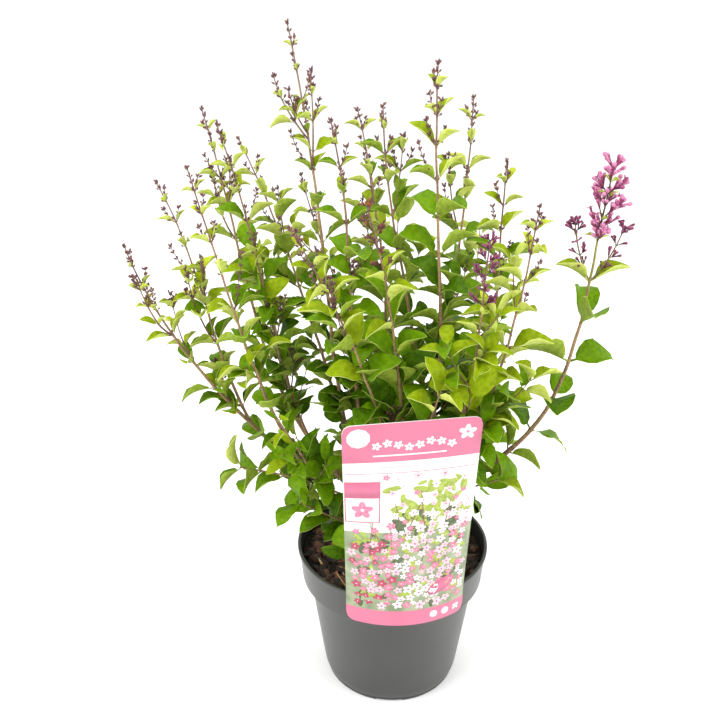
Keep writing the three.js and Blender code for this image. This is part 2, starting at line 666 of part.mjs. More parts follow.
// Small buds end every leafy shoot; a flower head has florets all round its axis.
function growBuds(mass) {
  for (const twig of mass.twigs.filter((each) => each.flowering)) {
    const head = headOf(mass, twig);
    const end = placeOnLimb(twig, 1 - TOP_BUD.sunk / twig.length);
    addClub(mass, end.point, leafFrame(end.tangent, 0, 0), TOP_BUD.length, TOP_BUD.radius);
    const count = head ? head.florets : 2;
    for (let i = 0; i < count; i += 1) {
      const distance = head ? head.length * ((i + 0.7) / count) : NODE_SPACING.first;
      const { point: node, tangent } = placeOnLimb(twig, 1 - distance / twig.length);
      const angle = head ? i * 2.4 : i * Math.PI;
      const reach = head ? head.reach * (0.45 + 0.55 * Math.sqrt(distance / head.length)) : AXIL_BUD.length;
      const frame = leafFrame(tangent, angle, head ? 0.95 : 0.6);
      addClub(mass, node, frame, reach, head ? 2.3 : AXIL_BUD.radius);
    }
    if (head?.side) growSideHeads(mass, twig, head);
  }
}

// ---------- assembly ----------

const bush = new THREE.Group();
const pot = new THREE.Mesh(potGeometry(), MATERIALS.pot);
pot.name = 'pot';
const mix = new THREE.Mesh(mixGeometry(), MATERIALS.mix);
mix.name = 'potting_mix';
const label = new THREE.Mesh(labelGeometry(), MATERIALS.card);
label.name = 'plant_label';
bush.add(pot, mix, label);

const plant = new THREE.Group();
plant.position.z = MIX_LEVEL;
bush.add(plant);

for (const piece of [pot, mix, label]) {
  take(piece.name, piece.geometry.clone().translate(0, 0, -MIX_LEVEL));
}

function addToPlant(name, solid, material) {
  const mesh = new THREE.Mesh(toGeometry(solid), material);
  mesh.name = name;
  plant.add(mesh);
}

const stool = take('main_stem', stoolGeometry(0));
const stoolGrown = toSolid(stoolGeometry(CLEARANCE));
addToPlant('main_stem', stool, MATERIALS.bark);

for (const bough of BOUGHS) {
  const geometry = limbGeometry(boughCurve(bough), ...bough.radii, BOUGH_SIDES, BOUGH_STEPS);
  const solid = toSolid(geometry).subtract(stoolGrown);
  take(`bough_${bough.name}`, geometry, solid);
  addToPlant(`bough_${bough.name}`, solid, MATERIALS.bark);
}

const masses = plantMasses();
for (const mass of masses) {
  mass.marks = mass.shoots.flatMap(({ curve }) => curve.getSpacedPoints(Math.ceil(curve.getLength() / 16)));
  growTwigs(mass, stoolGrown);
}
for (const mass of masses) growSideTwigs(mass);
for (const mass of masses) growBuds(mass);
for (const mass of masses) growLeaves(mass, masses);
for (const mass of masses) addToPlant(`foliage_${mass.name}`, joined(mass.solids), MATERIALS.foliage);

export default bush;
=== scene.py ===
# %% [markdown]
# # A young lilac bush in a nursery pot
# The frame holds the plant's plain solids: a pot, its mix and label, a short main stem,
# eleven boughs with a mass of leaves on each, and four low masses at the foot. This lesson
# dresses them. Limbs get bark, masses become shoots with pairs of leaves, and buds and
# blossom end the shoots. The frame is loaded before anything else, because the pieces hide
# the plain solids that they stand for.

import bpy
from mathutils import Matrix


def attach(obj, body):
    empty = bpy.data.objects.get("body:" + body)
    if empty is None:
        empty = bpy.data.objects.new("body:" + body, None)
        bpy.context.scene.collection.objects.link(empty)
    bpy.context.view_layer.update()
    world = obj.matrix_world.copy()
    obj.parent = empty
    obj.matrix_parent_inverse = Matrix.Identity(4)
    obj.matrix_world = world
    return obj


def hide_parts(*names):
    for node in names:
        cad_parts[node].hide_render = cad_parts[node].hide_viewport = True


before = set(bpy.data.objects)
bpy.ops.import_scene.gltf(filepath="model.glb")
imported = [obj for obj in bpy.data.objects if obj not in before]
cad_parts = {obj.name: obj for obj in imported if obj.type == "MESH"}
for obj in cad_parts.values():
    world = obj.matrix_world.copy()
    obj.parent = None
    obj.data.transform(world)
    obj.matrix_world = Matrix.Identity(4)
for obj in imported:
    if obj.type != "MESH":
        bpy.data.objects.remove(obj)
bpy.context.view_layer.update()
print("nodes in the frame:", len(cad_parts))

# %% [markdown]
# ## Tools and units
# Sizes are written in millimetres, as a grower's catalogue gives them, and become metres
# only when a piece is kept. A seeded draw replaces a random generator: the same whole
# numbers always give the same result, so every run grows the same plant.

# %% Tools, units and a seeded draw
import math

import bmesh
import bpy
import numpy as np
from mathutils import Matrix, Vector, noise
from mathutils.kdtree import KDTree

MM = 0.001
UP = Vector((0.0, 0.0, 1.0))
KEY_WEIGHTS = (12.9898, 78.233, 37.719, 54.123, 93.989)
WAVE_HEIGHT = 43758.5453  # so tall that the digits after the point look random


def draw(*keys):
    """A number from 0 to 1 that looks random, the same each time for the same keys."""
    turn = 0.5 + sum(key * weight for key, weight in zip(keys, KEY_WEIGHTS))
    wave = math.sin(turn) * WAVE_HEIGHT
    return wave - math.floor(wave)


def between(low, high, share):
    return low + (high - low) * share


SWAY_SHIFTS = [Vector((9.3, 1.7, 16.9)), Vector((2.6, 29.4, 0.8)), Vector((39.1, 3.2, 8.5))]


def sway(place):
    """A smooth noise in three directions. The built-in vector noise is seeded by the clock,
    so it would grow another plant in every run."""
    return Vector([noise.noise(place + shift) for shift in SWAY_SHIFTS])


print("two draws:", round(draw(1, 2), 3), round(draw(1, 3), 3))

# %% [markdown]
# ## Finishes
# A real surface is never one flat colour. Each finish here mixes two close shades with a
# soft noise in object space, and most add a fine bump. Object space is in metres, so a
# noise scale of 150 makes patches of about 7 mm. A painted image would need unwrapping and
# blurs close up, while noise stays sharp at any size. Values that don't vary stay on the
# shader's own sockets, which keeps them through an export.

# %% A finish from two close shades
def linear(red, green, blue):
    """A colour picked on screen, 0 to 255, as the shader's linear values."""
    shares = [channel / 255 for channel in (red, green, blue)]
    return [s / 12.92 if s <= 0.04045 else ((s + 0.055) / 1.055) ** 2.4 for s in shares] + [1.0]


SHADE_LIMITS = (0.36, 0.64)  # of the noise, where the dark shade ends and the light one starts
RELIEF_DEPTH = 0.3 * MM


def finish(name, light, dark, patch=150, rough=0.5, bump=0.0, grain=900, **sockets):
    """Patches of two shades, and with a bump also a fine relief of the given grain."""
    material = bpy.data.materials.new(name)
    material.use_nodes = True
    nodes, links = material.node_tree.nodes, material.node_tree.links
    shader = nodes["Principled BSDF"]
    shader.inputs["Roughness"].default_value = rough
    for socket, value in sockets.items():
        shader.inputs[socket.replace("_", " ")].default_value = value
    place = nodes.new("ShaderNodeTexCoord")
    patches = nodes.new("ShaderNodeTexNoise")
    patches.inputs["Scale"].default_value = patch
    patches.inputs["Detail"].default_value = 3
    ramp = nodes.new("ShaderNodeValToRGB")
    for stop, limit, shade in zip(ramp.color_ramp.elements, SHADE_LIMITS, (dark, light)):
        stop.position = limit
        stop.color = linear(*shade)
    links.new(place.outputs["Object"], patches.inputs["Vector"])
    links.new(patches.outputs["Fac"], ramp.inputs["Fac"])
    links.new(ramp.outputs["Color"], shader.inputs["Base Color"])
    if bump:
        fine = nodes.new("ShaderNodeTexNoise")
        fine.inputs["Scale"].default_value = grain
        fine.inputs["Detail"].default_value = 4
        relief = nodes.new("ShaderNodeBump")
        relief.inputs["Strength"].default_value = bump
        relief.inputs["Distance"].default_value = RELIEF_DEPTH
        links.new(place.outputs["Object"], fine.inputs["Vector"])
        links.new(fine.outputs["Fac"], relief.inputs["Height"])
        links.new(relief.outputs["Normal"], shader.inputs["Normal"])
    return material


POT_GREY = finish("pot_grey", (47, 48, 44), (43, 44, 40), 25, 0.34, 0.2, 2600, Specular_IOR_Level=0.7)
print("first finish:", POT_GREY.name)

# %% [markdown]
# ## Keeping a piece
# A piece is modelled in a bmesh in millimetres and kept once: scaled to metres, given its
# finishes, shaded smooth up to an angle and told which body it rides on, and the plain
# solids that it stands for are hidden.

# %% Keep a mesh as a piece
def keep(name, mesh, materials, nodes=(), crease=35):
    """`nodes` are the plain solids that the piece stands for; a crease of 0 has no sharp edges."""
    for material in materials:
        mesh.materials.append(material)
    mesh.shade_smooth()
    if crease:
        mesh.set_sharp_from_angle(angle=math.radians(crease))
    piece = bpy.data.objects.new(name, mesh)
    bpy.context.scene.collection.objects.link(piece)
    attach(piece, "root")
    if nodes:
        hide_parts(*nodes)
    mesh.calc_loop_triangles()
    print(name, "has", len(mesh.loop_triangles), "triangles")
    return piece


def mesh_from(bm, name):
    """A mesh in metres from a bmesh in millimetres."""
    bmesh.ops.scale(bm, vec=(MM, MM, MM), verts=bm.verts)
    mesh = bpy.data.meshes.new(name)
    bm.to_mesh(mesh)
    bm.free()
    return mesh


# %% [markdown]
# ## The pot
# A nursery pot is blow-moulded in one thin wall: a foot ring with shallow notches, a side
# that widens upwards, a step, and an upright band that ends in a rounded lip. Stacked cones
# would leave seams at every step, while a profile spun round the axis gives all of that at
# once, and a wheel of 120 steps reads as round. Drain holes and notches are cut with a
# Boolean, as the mould's inserts would do. The inside faces above the foot take a near-black
# finish.

# %% A spun profile
def spun(profile, steps):
    bm = bmesh.new()
    verts = [bm.verts.new((radius, 0, z)) for radius, z in profile]
    edges = [bm.edges.new(pair) for pair in zip(verts, verts[1:])]
    bmesh.ops.spin(bm, geom=verts + edges, cent=(0, 0, 0), axis=(0, 0, 1),
                   angle=2 * math.pi, steps=steps, use_merge=True)
    bmesh.ops.remove_doubles(bm, verts=bm.verts, dist=1e-4)
    bmesh.ops.recalc_face_normals(bm, faces=bm.faces)
    return bm


def rounded(corners, steps=4):
    """A profile whose corners (radius, z, rounding) are replaced by small arcs."""
    points = []
    for before, corner, after in zip(corners, corners[1:], corners[2:]):
        here, size = Vector(corner[:2]), corner[2]
        if not size:
            points.append(tuple(here))
            continue
        start = here + (Vector(before[:2]) - here).normalized() * size
        end = here + (Vector(after[:2]) - here).normalized() * size
        for i in range(steps + 1):
            share = i / steps
            points.append(tuple(start.lerp(here, share).lerp(here.lerp(end, share), share)))
    return [corners[0][:2], *points, corners[-1][:2]]


# %% Pot sizes and profile
POT_HEIGHT = 150
RIM_RADIUS = 95
BAND_FOOT = 114.5
BAND_FOOT_RADIUS = 90.6
BODY_TOP_RADIUS = 83.8
BASE_RADIUS = 68.5
WALL = 2.0
DISC_RADIUS = 45
CHANNEL_RADIUS = 60
FLOOR = 2.2
POT_STEPS = 120

pot_profile = rounded([
    (0, 0, 0), (DISC_RADIUS, 0, 0.8), (DISC_RADIUS + 2, 3, 0.8), (CHANNEL_RADIUS - 2, 3, 0.8),
    (CHANNEL_RADIUS, 0, 0.8), (BASE_RADIUS - 2.2, 0, 0.7), (BASE_RADIUS - 1.7, 2.8, 0.6),
    (BASE_RADIUS - 2.6, 3.5, 0.3), (BASE_RADIUS - 0.9, 4.6, 0.6), (BASE_RADIUS + 0.7, 10, 3.0),
    (BODY_TOP_RADIUS, BAND_FOOT, 0.9), (BAND_FOOT_RADIUS, BAND_FOOT, 1.2),
    (RIM_RADIUS - 1.6, 145.6, 0.8), (RIM_RADIUS, 146.6, 0.9), (RIM_RADIUS, POT_HEIGHT, 1.1),
    (RIM_RADIUS - 3.2, POT_HEIGHT, 1.1), (RIM_RADIUS - 3.6, 146.4, 1.0),
    (BAND_FOOT_RADIUS - WALL, BAND_FOOT + WALL, 1.0), (BODY_TOP_RADIUS - WALL, BAND_FOOT + WALL, 1.0),
    (BASE_RADIUS - WALL - 1, 7.2, 1.5), (BASE_RADIUS - 4, 5.2, 0.8), (DISC_RADIUS + 2, 5.2, 0.6),
    (DISC_RADIUS, FLOOR, 0.6), (0, FLOOR, 0),
])
print("points in the pot's profile:", len(pot_profile))

# %% Cut drain holes and foot notches
DRAIN_HOLES, DRAIN_RADIUS = 6, 4.5
FOOT_NOTCHES, NOTCH_SIZE = 4, (27, 15, 4)
CUT_DEPTH = 20


def pot_cutters():
    """Rods through the channel for the drain holes, and low blocks under the foot ring."""
    bm = bmesh.new()
    for i in range(DRAIN_HOLES):
        turn = Matrix.Rotation((i + 0.5) / DRAIN_HOLES * math.tau, 4, "Z")
        place = turn @ Matrix.Translation(((DISC_RADIUS + CHANNEL_RADIUS) / 2, 0, 0))
        bmesh.ops.create_cone(bm, cap_ends=True, segments=20, radius1=DRAIN_RADIUS,
                              radius2=DRAIN_RADIUS, depth=CUT_DEPTH, matrix=place)
    for i in range(FOOT_NOTCHES):
        turn = Matrix.Rotation(i / FOOT_NOTCHES * math.tau, 4, "Z")
        place = turn @ Matrix.Translation((0, 1 - BASE_RADIUS, 0)) @ Matrix.Diagonal((*NOTCH_SIZE, 1))
        bmesh.ops.create_cube(bm, size=1, matrix=place)
    return bm


def cut(bm, cutter_bm):
    """The first shape without the second, worked out by a Boolean modifier."""
    objects = []
    for part in (bm, cutter_bm):
        mesh = mesh_from(part, "cut")
        objects.append(bpy.data.objects.new("cut", mesh))
        bpy.context.scene.collection.objects.link(objects[-1])
    boolean = objects[0].modifiers.new("cut", "BOOLEAN")
    boolean.operation = "DIFFERENCE"
    boolean.solver = "EXACT"
    boolean.object = objects[1]
    graph = bpy.context.evaluated_depsgraph_get()
    mesh = bpy.data.meshes.new_from_object(objects[0].evaluated_get(graph))
    for extra in objects:
        bpy.data.objects.remove(extra)
    return mesh


# %% Mould the pot, near-black inside above the foot
POT_BLACK = finish("pot_black", (26, 24, 21), (20, 19, 17), 25, 0.6, 0.2, 2600)
BLACK_FROM = 8 * MM
pot_mesh = cut(spun(pot_profile, POT_STEPS), pot_cutters())
pot_mesh.materials.clear()
for face in pot_mesh.polygons:
    outward = face.normal.x * face.center.x + face.normal.y * face.center.y
    is_inside = outward < -0.3 * face.center.xy.length
    face.material_index = int(is_inside and face.center.z > BLACK_FROM)
keep("pot_moulded", pot_mesh, [POT_GREY, POT_BLACK], ["pot"])

# %% [markdown]
# ## Many copies in one mesh
# Chips, leaves, buds and florets are each modelled once, in a few variants, and then
# copied. Thousands of separate objects would be slow to handle and to export, so the copies
# are joined. Arrays do that quickly: every copy's points are the variant's points times the
# copy's matrix. A copy also has a tone, which picks its row of finishes.

# %% Joined copies of a few shapes
class Shape:
    """A small mesh as arrays: its points, the corners of its faces and their parts."""

    def __init__(self, bm):
        bm.verts.index_update()
        self.points = np.array([v.co[:] for v in bm.verts])
        self.corners = np.array([v.index for face in bm.faces for v in face.verts])
        self.sizes = np.array([len(face.verts) for face in bm.faces])
        self.parts = np.array([face.material_index for face in bm.faces])
        bm.free()


def copies(name, shapes, placed, tones):
    """`placed` holds (shape, matrix, tone); `tones` gives the finish of each part."""
    points, corners, sizes, parts, count = [], [], [], [], 0
    for which, matrix, tone in placed:
        shape, turn = shapes[which], np.array(matrix)
        points.append(shape.points @ turn[:3, :3].T + turn[:3, 3])
        corners.append(shape.corners + count)
        sizes.append(shape.sizes)
        parts.append(np.array(tones[tone])[shape.parts])
        count += len(shape.points)
    corners, sizes = np.concatenate(corners), np.concatenate(sizes)
    mesh = bpy.data.meshes.new(name)
    mesh.vertices.add(count)
    mesh.vertices.foreach_set("co", (np.concatenate(points) * MM).ravel())
    mesh.loops.add(len(corners))
    mesh.loops.foreach_set("vertex_index", corners)
    mesh.polygons.add(len(sizes))
    mesh.polygons.foreach_set("loop_start", np.concatenate([[0], np.cumsum(sizes)[:-1]]))
    mesh.polygons.foreach_set("material_index", np.concatenate(parts))
    mesh.update(calc_edges=True)
    return mesh


def stand(point, along, up):
    """The matrix that puts x along a direction, with z as near to `up` as it can be."""
    along = along.normalized()
    across = up.cross(along).normalized()
    axes = Matrix((along, across, along.cross(across))).transposed().to_4x4()
    return Matrix.Translation(point) @ axes


# %% [markdown]
# ## The potting mix
# Growers fill such pots with bark chips and fibre. The body is spun to the pot's inside
# with its surface raised and lowered by noise. A displaced surface alone would look like
# dough, so hundreds of chips and some slivers lie on it. A chip is a cube, bevelled and
# pushed about by noise, so no edge of it is straight.

# %% The body of the mix
MIX_LEVEL = 135
MIX_RADIUS = 90.2
INSIDE_TOP, INSIDE_TOP_RADIUS = 146, RIM_RADIUS - 3.6
MIX_DARK = finish("mix_dark", (40, 27, 20), (16, 11, 9), 260, 0.95, 0.8, 1200)


def inner_radius(z):
    """The radius inside the pot's band at a height."""
    climb = (z - BAND_FOOT - WALL) / (INSIDE_TOP - BAND_FOOT - WALL)
    return between(BAND_FOOT_RADIUS - WALL, INSIDE_TOP_RADIUS, climb)


def mix_top(x, y):
    """The height of the mix, which is level where the main stem stands."""
    rough = noise.noise(Vector((x / 16, y / 16, 3))) + 0.5 * noise.noise(Vector((x / 6, y / 6, 9)))
    return MIX_LEVEL + 2.4 * rough * min(1, math.hypot(x, y) / 24)


mix_profile = [(0, FLOOR + 0.3), (DISC_RADIUS, FLOOR + 0.3), (DISC_RADIUS + 2, 5.5),
               (BASE_RADIUS - 4.4, 5.5), (BASE_RADIUS - WALL - 1.4, 7.4),
               (BODY_TOP_RADIUS - WALL - 0.3, BAND_FOOT + WALL + 0.3),
               (BAND_FOOT_RADIUS - WALL - 0.4, BAND_FOOT + WALL + 0.3), (MIX_RADIUS - 0.5, MIX_LEVEL)]
mix_profile += [(radius, MIX_LEVEL) for radius in range(86, -1, -4)] + [(0, MIX_LEVEL)]
mix = spun(mix_profile, 90)
for vert in mix.verts:
    if vert.co.z > MIX_LEVEL - 1:
        vert.co.z = mix_top(vert.co.x, vert.co.y)
keep("mix_body", mesh_from(mix, "mix_body"), [MIX_DARK], ["potting_mix"])

# %% Bark chips and slivers
CHIP_BROWN = finish("chip_brown", (100, 66, 44), (60, 38, 26), 300, 0.85, 0.7, 1500)
CHIP_DARK = finish("chip_dark", (54, 37, 28), (28, 20, 16), 300, 0.9, 0.7, 1500)
CHIP_PALE = finish("chip_pale", (150, 104, 66), (106, 68, 42), 260, 0.82, 0.6, 1500)
STRAW = finish("straw", (206, 172, 112), (164, 130, 82), 400, 0.75)


def chip_shape(number, size):
    bm = bmesh.new()
    bmesh.ops.create_cube(bm, size=1)
    bmesh.ops.bevel(bm, geom=bm.edges[:], offset=0.16, affect="EDGES", segments=1,
                    profile=0.5, material=-1)
    for vert in bm.verts:
        push = sway(vert.co * 1.3 + Vector((number * 7.1, 0, 0)))
        vert.co = Vector([c * s for c, s in zip(vert.co + push * 0.3, size)])
    return Shape(bm)


CHIP_SIZES = [(14, 9, 3.4), (10, 7.5, 4), (18, 7, 2.8), (7, 6, 3.2)]
SLIVER_SIZE = (27, 1.5, 1.0)
chip_shapes = [chip_shape(number, size) for number, size in enumerate([*CHIP_SIZES, SLIVER_SIZE])]
print("chip shapes:", len(chip_shapes))

# %% Strew the chips
CHIPS, SLIVERS, CHIP_SEED = 600, 80, 31
CHIP_REACH, SLIVER_REACH, WALL_ROOM = 86, 75, 7
CHIP_TONES, STRAW_TONE = (0, 0, 0, 1, 1, 1, 1, 2), 3

chips = []
for i in range(CHIPS + SLIVERS):
    radius = CHIP_REACH * math.sqrt(between(0.02, 1, draw(CHIP_SEED, i, 1)))
    angle = draw(CHIP_SEED, i, 2) * math.tau
    x, y = radius * math.cos(angle), radius * math.sin(angle)
    sliver = i >= CHIPS
    if sliver and radius > SLIVER_REACH:
        continue
    which = len(CHIP_SIZES) if sliver else int(draw(CHIP_SEED, i, 3) * len(CHIP_SIZES))
    tilt = between(-0.5, 0.5, draw(CHIP_SEED, i, 4)) * (0.3 if sliver else 1)
    rise = between(0.6, 2.8, draw(CHIP_SEED, i, 5)) + (1.4 if sliver else 0)
    lean = between(-0.4, 0.4, draw(CHIP_SEED, i, 6)) * (0.2 if sliver else 1)
    spin = draw(CHIP_SEED, i, 7) * math.tau
    shrink = min(1, (inner_radius(MIX_LEVEL) - radius) / WALL_ROOM)
    shrink *= between(0.7, 1.1, draw(CHIP_SEED, i, 8))
    place = (Matrix.Translation((x, y, mix_top(x, y) + rise)) @ Matrix.Rotation(spin, 4, "Z")
             @ Matrix.Rotation(tilt, 4, "X") @ Matrix.Rotation(lean, 4, "Y")
             @ Matrix.Scale(max(0.35, shrink), 4))
    tone = CHIP_TONES[int(draw(CHIP_SEED, i, 9) * len(CHIP_TONES))]
    chips.append((which, place, STRAW_TONE if sliver else tone))
chip_mesh = copies("mix_chips", chip_shapes, chips, [[0], [1], [2], [3]])
keep("mix_chips", chip_mesh, [CHIP_BROWN, CHIP_DARK, CHIP_PALE, STRAW], crease=50)

# %% [markdown]
# ## The plant label
# The label is a stiff printed card, bent round the rim below and leaning out above. Each
# point of the card is worked out twice, on an arc that hugs the rim and on a line at the
# top, and the two are mixed by height. Cloth would sag and a bent box would keep its square
# corners, so a grid is moved to those points and given a thickness. A clip behind the card
# hooks over the rim.

# %% Where a point of the card lies
CARD_WIDTH, CARD_HEIGHT, CARD_THICKNESS, CARD_CORNER = 117, 229.5, 0.9, 8
CARD_FOOT, CARD_HUGGING, CARD_BACK = 122, 28, 95.7
CARD_BEARING = math.radians(9.2)
CARD_TOP = Vector((15.2, -118, 347.5))
CARD_YAW, CARD_ROLL = math.radians(13), math.radians(-0.7)


def card_point(across, up, proud):
    """A place `across` from the card's middle, `up` from its foot and `proud` of its back."""
    bearing = CARD_BEARING + across / (CARD_BACK + proud)
    leant = max(0, up - CARD_HUGGING) / (CARD_HEIGHT - CARD_HUGGING)
    radius = CARD_BACK + proud
    low = Vector((radius * math.sin(bearing), -radius * math.cos(bearing), CARD_FOOT + up))
    high = Vector((across * math.cos(CARD_YAW) + proud * math.sin(CARD_YAW),
                   across * math.sin(CARD_YAW) - proud * math.cos(CARD_YAW),
                   across * math.sin(CARD_ROLL) + up - CARD_HEIGHT)) + CARD_TOP
    return low.lerp(high, leant)


print("the card's top middle:", [round(c) for c in card_point(0, CARD_HEIGHT, 0)])

# %% The card and its colour fields
CARD_PINK = finish("card_pink", (203, 108, 138), (199, 102, 132), 30, 0.32, Coat_Weight=0.3)
CARD_WHITE = finish("card_white", (236, 235, 232), (231, 230, 227), 30, 0.32, Coat_Weight=0.3)
CARD_PALE = finish("card_pale", (234, 238, 228), (222, 230, 208), 45, 0.32, Coat_Weight=0.3)
CARD_LEAFY = finish("card_leafy", (158, 168, 132), (112, 128, 92), 60, 0.32, Coat_Weight=0.3)
CARD_FINISHES = [CARD_PINK, CARD_WHITE, CARD_PALE, CARD_LEAFY]
FIELD_PINK, FIELD_WHITE, FIELD_PALE, FIELD_LEAFY = range(4)
FIELDS = [(0, 16.5, FIELD_PINK), (16.5, 112, FIELD_LEAFY), (112, 178.5, FIELD_PALE),
          (178.5, 190.3, FIELD_WHITE), (190.3, CARD_HEIGHT, FIELD_PINK)]
CARD_COLUMNS, CARD_ROW = 26, 8
SIDE_CROWDING = 1.35  # above 1, columns stand closer at the sides, where the corners are round


def card_rows():
    """Heights of the grid's rows, with one at every change of colour."""
    rows = []
    for low, high, _ in FIELDS:
        count = max(1, round((high - low) / CARD_ROW))
        rows += [between(low, high, i / count) for i in range(count)]
    return rows + [CARD_HEIGHT]


def card_bmesh():
    rows = card_rows()
    bm = bmesh.new()
    bmesh.ops.create_grid(bm, x_segments=CARD_COLUMNS, y_segments=len(rows) - 1, size=0.5)
    heights = {}
    half = CARD_WIDTH / 2
    for vert in bm.verts:
        share = (vert.co.x + 0.5) * 2 - 1
        across = half * math.copysign(1 - (1 - abs(share)) ** SIDE_CROWDING, share)
        up = rows[round((vert.co.y + 0.5) * (len(rows) - 1))]
        short = max(0, CARD_CORNER - (half - abs(across)))
        cut_off = CARD_CORNER - math.sqrt(max(0, CARD_CORNER ** 2 - short ** 2))
        up = min(max(up, cut_off), CARD_HEIGHT - cut_off)
        heights[vert] = up
        vert.co = card_point(across, up, CARD_THICKNESS)
    for face in bm.faces:
        middle = sum(heights[vert] for vert in face.verts) / 4
        face.material_index = next(field for low, high, field in FIELDS if low <= middle <= high)
    bmesh.ops.remove_doubles(bm, verts=bm.verts, dist=1e-3)
    bmesh.ops.recalc_face_normals(bm, faces=bm.faces)
    if sum(face.normal.y for face in bm.faces) > 0:
        bmesh.ops.reverse_faces(bm, faces=bm.faces)
    front = set(bm.verts)
    bmesh.ops.solidify(bm, geom=bm.faces[:], thickness=CARD_THICKNESS)
    for face in bm.faces:
        if not all(vert in front for vert in face.verts):
            face.material_index = FIELD_WHITE
    return bm


# %% The clip over the rim
CLIP_WALL, CLIP_FOOT, CLIP_ROOM, CLIP_ANGLE = 1.1, 136, 0.3, math.radians(22)


def clip_bmesh():
    """A hook in profile, from inside the pot over the rim to the card's back, spun a little."""
    top = POT_HEIGHT + CLIP_ROOM
    inside, outside = inner_radius(CLIP_FOOT) - 1.6, CARD_BACK + 0.4
    corners = [(inside - CLIP_WALL, CLIP_FOOT), (inside - CLIP_WALL, top + CLIP_WALL),
               (outside, top + CLIP_WALL), (outside, top), (inside, top), (inside, CLIP_FOOT)]
    bm = bmesh.new()
    turn = Matrix.Rotation(CARD_BEARING - math.pi / 2 - CLIP_ANGLE / 2, 3, "Z")
    face = bm.faces.new([bm.verts.new(turn @ Vector((radius, 0, z))) for radius, z in corners])
    hook = face.verts[:] + face.edges[:] + [face]
    bmesh.ops.spin(bm, geom=hook, cent=(0, 0, 0), axis=(0, 0, 1), angle=CLIP_ANGLE, steps=8)
    bmesh.ops.recalc_face_normals(bm, faces=bm.faces)
    return bm


card_mesh = mesh_from(card_bmesh(), "label_card")
keep("label_card", card_mesh, CARD_FINISHES, ["plant_label"], crease=30)
keep("label_clip", mesh_from(clip_bmesh(), "label_clip"), [CARD_WHITE])

# %% [markdown]
# ## The print on the label
# Ink has no thickness to speak of, and an image would be the usual way to print a card. As
# thin raised shapes it needs no image and stays sharp. Each petal and leaf is a fan of
# triangles, placed on the card in its own across and up millimetres and then bent with the
# card. The design is a plain scatter of five-petalled blossoms and leaves, with a row of
# small blossoms on the header.

# %% Petals and leaves of ink
INKS = [finish("ink_pink", (226, 142, 166), (214, 112, 144), 300, 0.35),
        finish("ink_blush", (240, 204, 212), (234, 186, 198), 300, 0.35),
        finish("ink_rose", (196, 78, 108), (172, 56, 88), 300, 0.35),
        finish("ink_leaf", (176, 190, 84), (146, 168, 62), 300, 0.35),
        finish("ink_white", (240, 236, 234), (234, 226, 226), 300, 0.35),
        finish("ink_shade", (96, 110, 72), (72, 88, 58), 300, 0.35),
        finish("ink_stem", (150, 104, 96), (122, 82, 76), 300, 0.35),
        finish("card_print_pink", (203, 108, 138), (199, 102, 132), 30, 0.35)]
PINK, BLUSH, ROSE, LEAF, WHITE, SHADE, STEM, HEADER = range(8)
INK_THICKNESS, PATCH_STEP = 0.05, 5


def coloured(verts, colour):
    for face in {face for vert in verts for face in vert.link_faces}:
        face.material_index = colour


def ink(bm, across, up, length, width, turn, colour, proud):
    """An oval of ink whose near end is at the given place."""
    made = bmesh.ops.create_circle(bm, cap_ends=True, cap_tris=True, segments=10, radius=0.5)
    for vert in made["verts"]:
        along, side = (vert.co.x + 0.5) * length, vert.co.y * width
        vert.co = card_point(across + along * math.cos(turn) - side * math.sin(turn),
                             up + along * math.sin(turn) + side * math.cos(turn),
                             CARD_THICKNESS + proud)
    coloured(made["verts"], colour)


def disc(bm, across, up, size, colour, proud):
    ink(bm, across - size / 2, up, size, size, 0, colour, proud)


def patch(bm, across, up, width, height, colour, proud):
    """An upright rectangle of ink, bent with the card."""
    made = bmesh.ops.create_grid(bm, x_segments=round(width / PATCH_STEP), y_segments=2, size=0.5)
    for vert in made["verts"]:
        vert.co = card_point(across + vert.co.x * width, up + vert.co.y * height, CARD_THICKNESS + proud)
    coloured(made["verts"], colour)


def blossom(bm, across, up, size, turn, colour, heart, proud):
    for i in range(5):
        ink(bm, across, up, size, size * 0.62, turn + i * math.tau / 5, colour, proud)
    disc(bm, across, up, size * 0.34, heart, proud + 0.05)


# %% Scatter blossoms where they have room
PLACE_SEED, COLOUR_SEED, LEAF_SEED, STALK_SEED = 51, 52, 53, 54
BLOSSOM_TRIES, LEAF_TRIES, MOST_LEAVES, STALKS = 2600, 900, 110, 12
DENSE_UP_TO = 118  # at the card's middle; the dense part reaches higher on the right
EMBLEM_ACROSS, EMBLEM_HALF, EMBLEM_FOOT = -41, 16, 124

printed = bmesh.new()
flowers = []
for i in range(BLOSSOM_TRIES):
    across, up = between(-53, 53, draw(PLACE_SEED, i, 1)), between(21, 174, draw(PLACE_SEED, i, 2))
    size = between(3.0, 5.6, draw(PLACE_SEED, i, 3)) * (1 if up < 120 else 0.85)
    crowd = 0.74 if up < DENSE_UP_TO + across * 0.5 else 1.5
    if abs(across - EMBLEM_ACROSS) < EMBLEM_HALF + size and up > EMBLEM_FOOT - size:
        continue
    if all(math.hypot(across - a, up - u) > crowd * (size + s) for a, u, s in flowers):
        flowers.append((across, up, size))
for i, (across, up, size) in enumerate(flowers):
    rosy = draw(COLOUR_SEED, i, 1) + (0.34 if across < -14 and up < 120 else -0.16)
    colour = ROSE if rosy > 1.0 else PINK if rosy > 0.66 else BLUSH if rosy > 0.3 else WHITE
    heart = ROSE if colour in (BLUSH, WHITE) else BLUSH
    blossom(printed, across, up, size, draw(COLOUR_SEED, i, 2) * math.tau, colour, heart, 0.16)
print("blossoms printed:", len(flowers))

